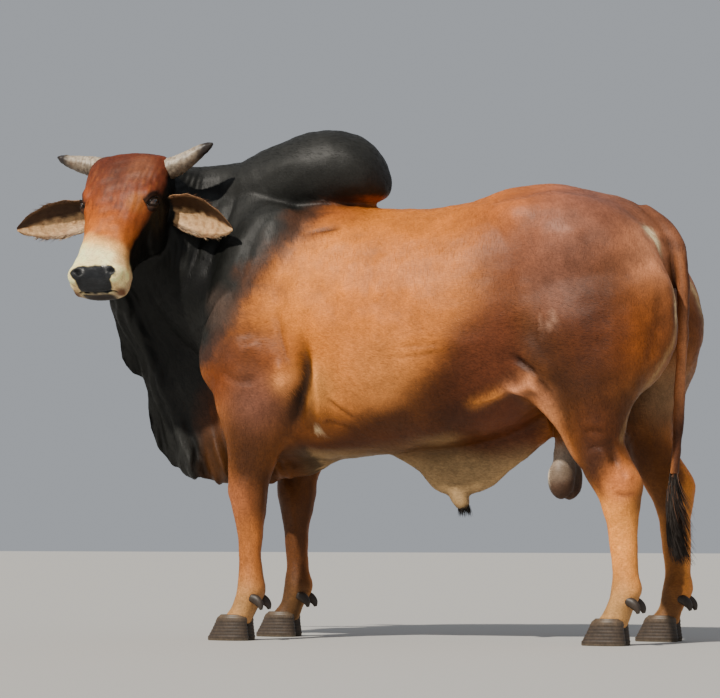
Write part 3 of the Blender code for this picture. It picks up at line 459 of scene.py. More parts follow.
# %% Hind legs
HIND_LEG = (
    (0.54, 0.8, 1.24, 0.11, 0.24, 0.24),
    (0.575, 0.86, 1.12, 0.13, 0.26, 0.26),
    (0.595, 0.9, 1.0, 0.135, 0.24, 0.24),
    (0.6, 0.95, 0.9, 0.125, 0.2, 0.215),
    (0.6, 1.02, 0.8, 0.105, 0.145, 0.15),
    (0.604, 1.05, 0.71, 0.085, 0.1, 0.1),
    (0.615, 1.05, 0.63, 0.066, 0.082, 0.082),
    (0.64, 1.05, 0.565, 0.056, 0.092, 0.09),
    (0.665, 1.05, 0.51, 0.052, 0.091, 0.092),
    (0.682, 1.04, 0.455, 0.048, 0.074, 0.066),
    (0.688, 1.03, 0.39, 0.038, 0.06, 0.052),
    (0.69, 1.02, 0.3, 0.036, 0.054, 0.048),
    (0.692, 1.02, 0.23, 0.037, 0.045, 0.045),
    (0.694, 1.02, 0.165, 0.046, 0.052, 0.056),
    (0.672, 1.02, 0.11, 0.043, 0.045, 0.045),
    (0.65, 1.02, 0.072, 0.05, 0.056, 0.054),
    (0.642, 1.02, 0.05, 0.05, 0.056, 0.054),
)


def set_back(sign, height):
    """How far back a hind leg stands at a height: nothing at its root, all of it below."""
    return HIND_BACK[sign] * min(1.0, max(0.0, (1.05 - height) / 0.45))


def hind_leg(name, sign):
    """Thigh, gaskin, hock, cannon and pastern; the second number is a share of LEG_Y."""
    y = sign * LEG_Y
    rows = [(x + set_back(sign, z), y * share, z, *rest) for x, share, z, *rest in HIND_LEG]
    return limb(name, rows, up=(-1, 0, 0), count=48, segments=32, along=(0, 0, -1))


def hind_muscles(name, sign):
    """Rump, buttock, thigh, stifle and point of the hip."""
    back = 0.006 if sign > 0 else 0.0
    return [
        muscle(name + "_rump", (0.5, sign * 0.14, 1.25), (0.3, 0.17, 0.2), 14),
        muscle(name + "_buttock", (0.68 + back, sign * 0.155, 1.05), (0.18, 0.125, 0.26), -6),
        muscle(name + "_thigh", (0.56, sign * 0.18, 1.0), (0.23, 0.14, 0.27), 0),
        muscle(name + "_stifle", (0.43, sign * 0.19, 0.9), (0.13, 0.11, 0.17), -25),
        muscle(name + "_hip", (0.37, sign * 0.19, 1.36), (0.13, 0.09, 0.08), 0),
    ]


FLANK_WEB = (
    (0.44, 1.15, 0.9, 0.3, 1.28, 0.82, 0.022),
    (0.5, 1.08, 0.85, 0.372, 1.26, 0.785, 0.026),
    (0.54, 1.05, 0.77, 0.434, 1.2, 0.728, 0.028),
    (0.57, 1.05, 0.7, 0.478, 1.15, 0.668, 0.028),
    (0.6, 1.05, 0.64, 0.506, 1.12, 0.616, 0.026),
    (0.62, 1.05, 0.58, 0.545, 1.08, 0.56, 0.024),
)


def flank_web(name, sign):
    """Loose skin that runs from the flank down the front of the thigh."""
    y = sign * LEG_Y
    rows = []
    for x, share, z, edge_x, edge_share, *rest in FLANK_WEB:
        shift = set_back(sign, z)
        rows.append((x + shift, y * share, z, edge_x + shift, y * edge_share, *rest))
    return fold(name, rows)


# %% [markdown]
# ## The head
# The face is a long flat wedge: broad and square at the poll, narrow below the eyes and
# square again at the muzzle. Sections down the face give that wedge, and small masses
# add the brow over each eye, the eye socket, the jaw muscle and the wing of each nostril.

# %% Skull and its masses
def skull():
    stations = [
        (-0.024, 0.094, -0.05, -0.09, -0.07),
        (-0.013, 0.13, -0.02, -0.125, -0.065),
        (0.015, 0.147, 0.0, -0.16, -0.065),
        (0.06, 0.151, 0.012, -0.195, -0.065),
        (0.12, 0.148, 0.016, -0.225, -0.065),
        (0.175, 0.138, 0.014, -0.248, -0.07),
        (0.225, 0.122, 0.01, -0.262, -0.075),
        (0.28, 0.106, 0.008, -0.24, -0.072),
        (0.335, 0.096, 0.006, -0.198, -0.066),
        (0.39, 0.093, 0.004, -0.168, -0.062),
        (0.43, 0.1, 0.003, -0.156, -0.062),
        (0.465, 0.107, -0.002, -0.15, -0.064),
        (0.5, 0.104, -0.014, -0.142, -0.07),
        (0.526, 0.084, -0.036, -0.13, -0.08),
        (0.538, 0.04, -0.058, -0.112, -0.085),
    ]
    rows = [
        (0, wide, -down, half, front - wide, wide - back)
        for down, half, front, back, wide in stations
    ]
    made = limb("skull", rows, up=(0, 1, 0), count=40, segments=40, boxy=0.8, along=(0, 0, -1))
    made.data.transform(head_matrix())
    return made


def head_mass(name, centre, radii):
    made = muscle(name, centre, radii)
    made.data.transform(head_matrix())
    return made


def head_masses():
    made = []
    for side, sign in SIDES:
        made += [
            head_mass(side + "_brow", (sign * 0.102, -0.036, -0.163), (0.04, 0.038, 0.056)),
            head_mass(side + "_socket", (sign * 0.118, -0.046, -0.188), (0.029, 0.028, 0.034)),
            head_mass(side + "_cheek", (sign * 0.086, -0.15, -0.205), (0.045, 0.09, 0.1)),
            head_mass(side + "_nostril", (sign * 0.064, -0.037, -0.484), (0.038, 0.034, 0.038)),
            head_mass(side + "_ear_root", (sign * 0.108, -0.128, -0.148), (0.034, 0.03, 0.034)),
        ]
    return made


# %% [markdown]
# ## One skin
# The big masses are melted first and eased a lot, so that shoulder, barrel and thigh
# flow into each other. Legs, hump, neck and dewlap join in a second melt with less
# easing, and the head in a third with hardly any, because a face is crisp.

# %% Melt the flesh in three steps
# Edge of the small cubes of each melt, and how often its surface is eased.
BULK_MELT = (0.0125, 26)
BODY_MELT = (0.008, 11)
SKIN_MELT = (0.0046, 8)


def melted_bull():
    bulk = [trunk(), neck()]
    legs = []
    upper = []
    webs = []
    for side, sign in SIDES:
        webs.append(flank_web("web_" + side, sign))
        bulk += fore_muscles("fore_" + side, sign)
        bulk += hind_muscles("hind_" + side, sign)
        for keep in (legs, upper):
            keep.append(fore_leg("fore_" + side, sign))
            keep.append(hind_leg("hind_" + side, sign))
    soft = melt("bulk", bulk + upper, *BULK_MELT)
    middle = [soft] + legs + webs + [neck(3), hump(), crest(), dewlap(), belly_fold()]
    body = melt("body", middle, *BODY_MELT)
    fine = [body, neck(3), skull(), sheath(), tail()] + scrotum() + head_masses()
    return melt("bull_skin", fine, *SKIN_MELT)


skin = melted_bull()


# %% [markdown]
# ## Creases and folds
# Loose hide creases where limbs bend and hangs in folds under the throat. A crease is a
# soft groove pressed along a short path on the surface; a raised fold is the same with
# the depth turned round. The paths follow the creases of the real animal.

# %% Press a groove along a path
def step(low, high, value):
    t = np.clip((value - low) / (high - low), 0.0, 1.0)
    return t * t * (3 - 2 * t)


def bell(away, width):
    """1 at no distance, falling off smoothly over a width."""
    return np.exp(-((away / width) ** 2))


def distance_to_path(points, path):
    """Distance to a path, and how far along it from 0 to 1 the nearest place is."""
    best, place = np.full(len(points), 1e9), np.zeros(len(points))
    for k, (a, b) in enumerate(zip(path, path[1:])):
        along = b - a
        t = np.clip((points - a) @ along / (along @ along), 0.0, 1.0)
        away = np.linalg.norm(points - a - t[:, None] * along, axis=1)
        place = np.where(away < best, (k + t) / (len(path) - 1), place)
        best = np.minimum(best, away)
    return best, place


def fading(place, ends):
    """1 along the middle of a path, falling to 0 over a share of its length at both ends."""
    return step(0.0, ends, place) * step(1.0, 1.0 - ends, place) if ends else 1.0


def press(points, outward, path, width, depth, ends=0.0):
    """Move points in along their normals near a path; the groove can fade at its ends."""
    rows = fair([(*p, 0, 0, 0) for p in path], 14)[:, :3]
    low, high = rows.min(axis=0) - 3 * width, rows.max(axis=0) + 3 * width
    near = np.flatnonzero(((points > low) & (points < high)).all(axis=1))
    if len(near) == 0:
        return
    away, place = distance_to_path(points[near], rows)
    sunk = depth * fading(place, ends) * bell(away, width)
    points[near] -= outward[near] * sunk[:, None]


def cloud(points, size, seed):
    """Soft irregular values of about -1 to 1 that change over the given size."""
    chance = np.random.default_rng(seed)
    total = np.zeros(len(points))
    for _ in range(10):
        way = chance.normal(size=3)
        way *= 2 * math.pi / size * chance.uniform(0.6, 1.5) / np.linalg.norm(way)
        total += np.sin(points @ way + chance.uniform(0, 6.28))
    return total / 3.2


# %% Folds of both sides
# Each row is the width and the depth of a groove, then its path.
BODY_FOLDS = (
    (0.024, 0.01, (-0.43, 0.15, 1.53), (-0.49, 0.19, 1.44), (-0.57, 0.28, 1.26),
     (-0.65, 0.28, 1.02)),
    (0.015, 0.007, (-0.66, 0.28, 0.92), (-0.62, 0.3, 0.865), (-0.56, 0.31, 0.85),
     (-0.49, 0.32, 0.87)),
    (0.012, 0.006, (-0.61, 0.31, 0.82), (-0.57, 0.32, 0.8), (-0.52, 0.32, 0.81)),
    (0.026, -0.014, (-0.47, 0.31, 0.92), (-0.43, 0.31, 0.87), (-0.43, 0.3, 0.8)),
    (0.026, 0.034, (-0.385, 0.32, 1.03), (-0.352, 0.31, 0.93), (-0.352, 0.3, 0.86),
     (-0.38, 0.27, 0.78), (-0.43, 0.2, 0.65)),
    (0.018, -0.014, (-0.32, 0.32, 0.93), (-0.31, 0.31, 0.85), (-0.31, 0.27, 0.75),
     (-0.33, 0.21, 0.68)),
    (0.009, 0.008, (-0.29, 0.29, 0.8), (-0.24, 0.28, 0.75), (-0.18, 0.25, 0.71)),
    (0.008, 0.006, (-0.33, 0.25, 0.73), (-0.28, 0.25, 0.71), (-0.2, 0.22, 0.685)),
    (0.022, -0.006, (-0.62, 0.26, 0.56), (-0.64, 0.22, 0.52), (-0.64, 0.19, 0.44)),
    (0.014, 0.005, (-0.56, 0.25, 0.54), (-0.55, 0.25, 0.47), (-0.56, 0.24, 0.41)),
    (0.014, 0.005, (0.6, 0.25, 0.5), (0.63, 0.25, 0.46), (0.66, 0.24, 0.38)),
    (0.012, 0.009, (0.66, 0.27, 0.66), (0.675, 0.26, 0.61), (0.667, 0.255, 0.555)),
    (0.008, 0.005, (0.655, 0.24, 0.492), (0.7, 0.245, 0.474), (0.745, 0.22, 0.484)),
    (0.02, -0.006, (0.7, 0.245, 0.53), (0.73, 0.235, 0.525)),
    (0.013, 0.007, (-0.45, 0.3, 1.1), (-0.44, 0.31, 1.01), (-0.42, 0.31, 0.95),
     (-0.4, 0.3, 0.88)),
    (0.01, 0.005, (-0.4, 0.23, 1.33), (-0.32, 0.22, 1.344), (-0.245, 0.21, 1.352)),
    (0.007, 0.0035, (-0.06, 0.34, 0.95), (0.06, 0.34, 0.954), (0.16, 0.34, 0.962)),
    (0.007, 0.003, (-0.08, 0.34, 0.915), (0.06, 0.34, 0.922), (0.18, 0.34, 0.935)),
    (0.011, 0.013, (0.34, 0.295, 0.93), (0.374, 0.288, 0.897), (0.401, 0.288, 0.877),
     (0.432, 0.292, 0.842)),
    (0.014, 0.008, (0.43, 0.29, 0.85), (0.45, 0.28, 0.8), (0.48, 0.26, 0.75)),
    (0.018, -0.014, (0.18, 0.24, 0.75), (0.24, 0.25, 0.77), (0.3, 0.25, 0.79),
     (0.36, 0.26, 0.806), (0.42, 0.27, 0.812), (0.46, 0.26, 0.77)),
    (0.026, 0.009, (0.79, 0.2, 1.21), (0.82, 0.22, 1.09), (0.8, 0.24, 0.94), (0.75, 0.24, 0.82)),
    (0.05, 0.008, (0.36, 0.25, 1.42), (0.41, 0.29, 1.31), (0.38, 0.29, 1.19), (0.36, 0.31, 1.03)),
    (0.014, 0.008, (0.63, 0.27, 0.65), (0.67, 0.26, 0.6), (0.69, 0.25, 0.54)),
    (0.013, 0.009, (0.4, 0.29, 0.9), (0.44, 0.28, 0.83), (0.49, 0.27, 0.76)),
    (0.009, 0.005, (0.55, 0.28, 0.7), (0.6, 0.28, 0.72), (0.66, 0.27, 0.7)),
    (0.009, 0.005, (0.55, 0.27, 0.65), (0.6, 0.28, 0.675), (0.66, 0.27, 0.66)),
    (0.009, 0.005, (0.56, 0.26, 0.6), (0.61, 0.27, 0.625), (0.67, 0.26, 0.615)),
    (0.03, 0.004, (-0.05, 0.0, 1.43), (0.25, 0.0, 1.48), (0.6, 0.0, 1.47)),
)
NECK_FOLDS = (
    (0.016, 0.01, (-0.6, -0.29, 1.17), (-0.65, -0.28, 1.15), (-0.74, -0.21, 1.07),
     (-0.81, -0.12, 0.98)),
    (0.014, 0.008, (-0.67, -0.12, 1.52), (-0.68, -0.17, 1.41), (-0.71, -0.2, 1.31),
     (-0.78, -0.17, 1.15)),
    (0.014, 0.007, (-0.73, -0.12, 1.5), (-0.75, -0.17, 1.4), (-0.79, -0.2, 1.28),
     (-0.84, -0.17, 1.12)),
)
DEWLAP_EDGE = np.array((
    (-1.125, -0.15, 1.15),
    (-1.118, -0.095, 1.02),
    (-1.058, -0.02, 0.76),
    (-0.93, 0.0, 0.565),
    (-0.66, 0.0, 0.54),
))


# %% Fold the dewlap and crease the hide
def at_dewlap(points, width):
    """1 at the dewlap's edge, falling off over a width."""
    away = distance_to_path(points, DEWLAP_EDGE)[0]
    return bell(away, width) * (points[:, 0] < -0.5)


def ruffle(points):
    """Bend the dewlap into hanging folds that fade out towards the neck."""
    loose = at_dewlap(points, 0.13)
    phase = (points[:, 0] + 0.35 * (points[:, 2] - 0.8)) * 2 * math.pi
    points[:, 1] += loose * (0.016 * np.sin(phase / 0.115) + 0.007 * np.sin(phase / 0.061 + 1.0))
    points[:, 2] += loose * 0.007 * np.sin(phase / 0.094 + 0.5)


def crease_hide(obj):
    points = points_of(obj)
    ruffle(points)
    place_points(obj, points)
    outward = normals_of(obj)
    for width, depth, *path in BODY_FOLDS:
        for sign in (-1, 1):
            press(points, outward, [(x, sign * y, z) for x, y, z in path], width, depth, 0.35)
    for width, depth, *path in NECK_FOLDS:
        press(points, outward, path, width, depth, 0.2)
    for x in (0.39, 0.49):
        press(points, outward, [(x, 0, 0.6), (x, 0, 0.53), (0.44, 0, 0.455)], 0.012, 0.007)
    neck_skin = np.exp(-(((points - (-0.86, -0.16, 1.42)) / (0.16, 0.2, 0.16)) ** 2).sum(axis=1))
    wrinkle = np.sin(points[:, 0] * 300 + 2.5 * cloud(points, 0.12, 3)) * neck_skin
    hide = 0.002 * cloud(points, 0.16, 4) + 0.0011 * cloud(points, 0.055, 5)
    hang = at_dewlap(points, 0.16)
    across_pleats = (points[:, 0] + 0.2 * points[:, 2]) * 2 * math.pi / 0.038
    pleat = np.sin(across_pleats + 2 * cloud(points, 0.2, 6)) * hang
    barrel = np.exp(-(((points - (-0.02, 0, 1.06)) / (0.26, 1.0, 0.2)) ** 2).sum(axis=1))
    across_ribs = (points[:, 0] - 0.12 * points[:, 2]) * 2 * math.pi / 0.062
    ribs = 0.001 * np.sin(across_ribs + 0.8 * cloud(points, 0.3, 7)) * barrel
    points += outward * (0.0016 * wrinkle + hide + ribs + 0.0026 * pleat - COAT_DEPTH)[:, None]
    place_points(obj, points)


crease_hide(skin)
print("creased with", len(BODY_FOLDS) * 2 + len(NECK_FOLDS), "folds")


# %% [markdown]
# ## Fewer faces on the body, more on the face
# A voxel skin has the same small faces everywhere. Here the body can do with fewer, so
# it is thinned by a Decimate modifier that a vertex group keeps off the head. Then the
# faces round eyes, nostrils and mouth are split twice, so that lids and lips get edges
# about a millimetre long.

# %% Thin the body, keep the head
THINNED_FACES = 118000


def thin_body(obj, wanted):
    local = to_head_axes(points_of(obj))
    x, y, z = local.T
    head = (np.abs(x) < 0.19) & (y > -0.27) & (z > -0.6) & (z < 0.06)
    group = obj.vertex_groups.new(name="may_thin")
    group.add(np.flatnonzero(~head).tolist(), 1.0, "REPLACE")
    obj.data.calc_loop_triangles()
    thin = obj.modifiers.new("thin", "DECIMATE")
    thin.ratio = wanted / len(obj.data.loop_triangles)
    thin.vertex_group = "may_thin"
    thin.vertex_group_factor = 1.0
    baked(obj)
    obj.vertex_groups.clear()
    print("thinned to", len(obj.data.polygons), "faces")


thin_body(skin, THINNED_FACES)


# %% Keep only the outer surface
def keep_outer(obj):
    """Melting can leave closed hollows inside; only the largest surface stays."""
    bm = bmesh.new()
    bm.from_mesh(obj.data)
    unseen = set(bm.verts)
    islands = []
    while unseen:
        stack = [unseen.pop()]
        island = []
        while stack:
            vert = stack.pop()
            island.append(vert)
            for edge in vert.link_edges:
                other = edge.other_vert(vert)
                if other in unseen:
                    unseen.remove(other)
                    stack.append(other)
        islands.append(island)
    islands.sort(key=len)
    for island in islands[:-1]:
        bmesh.ops.delete(bm, geom=island, context="VERTS")
    bm.to_mesh(obj.data)
    bm.free()
    print("kept the largest of", len(islands), "surfaces")


keep_outer(skin)


# %% Split the faces round eyes, nostrils and mouth
def eye_frame(sign):
    """Centre of one eye, and its directions: out, along the slit, and up over the lid."""
    out = Vector(EYE_OUT).normalized()
    along = Vector(EYE_ALONG)
    along = (along - out * along.dot(out)).normalized()
    over = out.cross(along)
    centre = on_head(sign * EYE_CENTRE[0], EYE_CENTRE[1], EYE_CENTRE[2])
    axes = [on_head(sign * v.x, v.y, v.z) - POLL for v in (out, along, over)]
    return np.array(centre), [np.array(a) for a in axes]


def split_near(obj, spots, rounds):
    """Split the edges whose two ends lie within reach of a spot."""
    bm = bmesh.new()
    bm.from_mesh(obj.data)
    for shrink in rounds:
        points = np.array([v.co for v in bm.verts])
        near = np.zeros(len(points), dtype=bool)
        for centre, reach in spots:
            near |= np.linalg.norm(points - np.array(centre), axis=1) < reach * shrink
        bm.verts.ensure_lookup_table()
        bm.verts.index_update()
        edges = [e for e in bm.edges if near[e.verts[0].index] and near[e.verts[1].index]]
        bmesh.ops.subdivide_edges(bm, edges=edges, cuts=1, use_grid_fill=True)
    bmesh.ops.triangulate(bm, faces=[f for f in bm.faces if len(f.verts) > 4])
    bm.to_mesh(obj.data)
    bm.free()
    print("skin now has", len(obj.data.polygons), "faces")


FACE_SPOTS = [(eye_frame(sign)[0], 0.046) for _, sign in SIDES]
FACE_SPOTS += [(on_head(sign * 0.066, -0.01, -0.488), 0.036) for _, sign in SIDES]
LIP_SPOTS = ((0.0, -0.045, -0.528), (0.04, -0.05, -0.522), (0.072, -0.075, -0.5),
             (0.084, -0.105, -0.465))
FACE_SPOTS += [(on_head(sign * x, y, z), 0.03) for x, y, z in LIP_SPOTS for _, sign in SIDES]
split_near(skin, FACE_SPOTS, (1.0, 0.8))


# %% [markdown]
# ## Lids, nostrils and lips
# An eyelid is thin skin that lies on the eyeball. So near each eye the skin is drawn on
# to a ball a little larger than the eye, and inside the almond between the lids it is
# pushed back behind the eye's surface. Nostrils and mouth are deep grooves with a rim.

# %% Wrap the lids round the eyes
def almond(along, over):
    """Distance from the edge of the slit between the lids, negative inside it."""
    half = 0.024
    upper, lower = 0.0125, 0.0095
    big_upper = (half ** 2 + upper ** 2) / (2 * upper)
    big_lower = (half ** 2 + lower ** 2) / (2 * lower)
    from_upper = np.hypot(along, over + big_upper - upper) - big_upper
    from_lower = np.hypot(along, over - big_lower + lower) - big_lower
    return np.maximum(from_upper, from_lower)


def wrap_lids(points, sign):
    centre, (out, along, over) = eye_frame(sign)
    offset = points - centre
    near = np.flatnonzero((np.linalg.norm(offset, axis=1) < 0.055) & (offset @ out > 0.0))
    offset = offset[near]
    reach = np.linalg.norm(offset, axis=1)
    x, y = offset @ along, offset @ over
    edge = almond(x, y)
    above = step(-0.002, 0.004, y)
    lid = EYE_RADIUS + 0.003 + 0.001 * bell(edge - 0.003, 0.0022)
    lid -= 0.0024 * above * bell(edge - 0.0092, 0.002)
    lid += 0.003 * above * bell(edge - 0.0135, 0.0035)
    lid -= 0.0014 * (1 - above) * bell(edge - 0.0085, 0.0018)
    hold = step(0.021, 0.007, edge)
    wanted = reach + (lid - reach) * hold
    sunk = EYE_RADIUS - 0.005 + (wanted - EYE_RADIUS + 0.005) * step(-0.0008, 0.0012, edge)
    wanted = np.where(edge < 0.0012, sunk, wanted)
    points[near] = centre + offset * (wanted / reach)[:, None]


# %% Open the nostrils and the mouth
MOUTH_HALF = [(0.0, -0.066, -0.536), (0.03, -0.066, -0.536), (0.055, -0.07, -0.53),
              (0.08, -0.086, -0.511), (0.091, -0.108, -0.458)]
MOUTH = [(-x, y, z) for x, y, z in reversed(MOUTH_HALF[1:])] + MOUTH_HALF
NOSTRIL = [(0.046, -0.003, -0.5), (0.054, -0.002, -0.488), (0.068, -0.008, -0.486),
           (0.077, -0.02, -0.499)]
FACE_FOLDS = (
    (0.012, -0.004, *NOSTRIL),
    (0.0078, 0.016, *NOSTRIL),
    (0.011, -0.004, (0.076, -0.078, -0.526), (0.086, -0.092, -0.517)),
    (0.018, -0.005, (0.104, -0.06, -0.215), (0.094, -0.055, -0.27), (0.082, -0.05, -0.32)),
    (0.016, -0.005, (0.086, -0.215, -0.15), (0.08, -0.225, -0.23), (0.066, -0.19, -0.31)),
    (0.012, 0.003, (0.088, -0.06, -0.33), (0.086, -0.085, -0.39), (0.09, -0.1, -0.44)),
    (0.006, 0.002, (0.12, -0.075, -0.255), (0.104, -0.085, -0.3)),
)


def shape_face(obj):
    points = points_of(obj)
    outward = normals_of(obj)

    def along_head(path, width, depth, sign=1.0):
        press(points, outward, [on_head(sign * x, y, z) for x, y, z in path], width, depth)

    along_head(MOUTH, 0.0035, 0.009)
    along_head([(x, y + 0.01, z + 0.012) for x, y, z in MOUTH], 0.009, -0.003)
    along_head([(x, y - 0.014, z - 0.006) for x, y, z in MOUTH[1:-1]], 0.009, -0.003)
    for _, sign in SIDES:
        for width, depth, *path in FACE_FOLDS:
            along_head(path, width, depth, sign)
    along_head([(0.0, 0.016, -0.06), (0.0, 0.016, -0.14), (0.0, 0.012, -0.2)], 0.022, 0.003)
    for _, sign in SIDES:
        wrap_lids(points, sign)
    place_points(obj, points)


shape_face(skin)


# %% [markdown]
# ## Ears
# A zebu's ear is a long leaf rolled into a cup, open to the front. It is lofted from
# the root to the tip as a thin bent shell and then joined to the skin by a union, so
# that no seam shows where it leaves the head.

# %% Ear leaf
EAR_STATIONS = [
    (0.0, 0.032, 1.0, 0.014),
    (0.044, 0.052, 1.0, 0.01),
    (0.098, 0.068, 0.85, 0.008),
    (0.152, 0.072, 0.72, 0.007),
    (0.206, 0.061, 0.62, 0.006),
    (0.252, 0.041, 0.52, 0.005),
    (0.286, 0.019, 0.42, 0.004),
    (0.298, 0.007, 0.42, 0.003),
]
EAR_SIZE = {-1.0: 1.0, 1.0: 0.9}
EAR_ROLL = 1.25


def ear_frame(sign):
    """Root of one ear and its directions: to the tip, out of the cup, up across the leaf."""
    root = on_head(sign * 0.112, -0.13, -0.15)
    reach = (HEAD_RIGHT * sign + HEAD_AHEAD * 0.22 + Vector((0, 0, -0.15))).normalized()
    opening = (HEAD_AHEAD * 0.9 + Vector((0, 0, -0.4))).normalized()
    opening = (opening - reach * opening.dot(reach)).normalized()
    return root, reach, opening, reach.cross(opening).normalized() * sign


def ear_droop(sign, out):
    """The bull lets its left ear hang lower than its right."""
    return (-0.03 if sign < 0 else -0.008) * (out / 0.27) ** 2


def ear_section(sign, out):
    """Half width, half angle and radius of the ear's cup, some way out from its root."""
    at = [row[0] for row in EAR_STATIONS]
    half, curl = (np.interp(out, at, [row[k] for row in EAR_STATIONS]) for k in (1, 2))
    half = half * EAR_SIZE[sign]
    return half, EAR_ROLL * curl, half / np.maximum(0.3, np.sin(np.minimum(EAR_ROLL * curl, 1.5)))


def ear(name, sign):
    rows = fair([(0, 0, *r) for r in EAR_STATIONS], 46)
    root, reach, opening, broad = ear_frame(sign)
    bm = bmesh.new()
    rings = []
    for row in rows:
        out, half, curl, thick = row[2:6]
        half = max(half, 0.003) * EAR_SIZE[sign]
        centre = root + reach * out + Vector((0, 0, ear_droop(sign, out)))
        made = circle(bm, 44)
        for vert in made:
            angle = math.atan2(vert.co.y, vert.co.x)
            spread = math.cos(angle)
            bend = spread * EAR_ROLL * curl
            radius = half / max(0.3, math.sin(min(EAR_ROLL * curl, 1.5)))
            inner = math.sin(angle) < 0
            veins = 0.0016 * math.cos(spread * 9.0) * step(0.0, 0.05, out) * (1 - abs(spread))
            veins = veins if inner else 0.0
            edge = 0.0022 * math.sin(out * 95.0 + 3.0 * spread) * abs(spread) ** 6
            shell = radius + math.sin(angle) * (thick - COAT_DEPTH * 0.6) + veins
            vert.co = (
                centre
                + broad * (math.sin(bend) * shell + edge)
                - opening * ((math.cos(bend) - math.cos(EAR_ROLL * curl)) * shell)
            )
        rings.append(made)
    bridge(bm, rings)
    return hand_over(bm, name)


# %% Join the ears to the skin
def unite(obj, other):
    union = obj.modifiers.new("union", "BOOLEAN")
    union.operation = "UNION"
    union.solver = "EXACT"
    union.object = other
    baked(obj)
    discard([other])


for side, sign in SIDES:
    unite(skin, ear("ear_" + side, sign))
keep_outer(skin)


# %% Measure the finished skin
def count_triangles(obj):
    obj.data.calc_loop_triangles()
    return len(obj.data.loop_triangles)


print("skin has", count_triangles(skin), "triangles")


# %% [markdown]
# ## Markings, painted shade and painted highlights
# The hair is fox-red to tan on the barrel, black on neck, hump and cheeks, and cream round
# the muzzle. Painted shade darkens every crease and hollow, and painted highlights lie on
# some lit folds. The colour of each point of the skin is worked out from named places
# with a reach each, then from masks that are laid over them in turn. The tufts of hair
# later take their colour from the skin at their roots.

# %% Colours of the hair, with painted shade and painted highlights
def tone(red, green, blue):
    """A colour given as screen bytes, as linear light."""
    value = np.array((red, green, blue)) / 255.0
    return np.where(value <= 0.04045, value / 12.92, ((value + 0.055) / 1.055) ** 2.4)


TAN = tone(180, 104, 36)
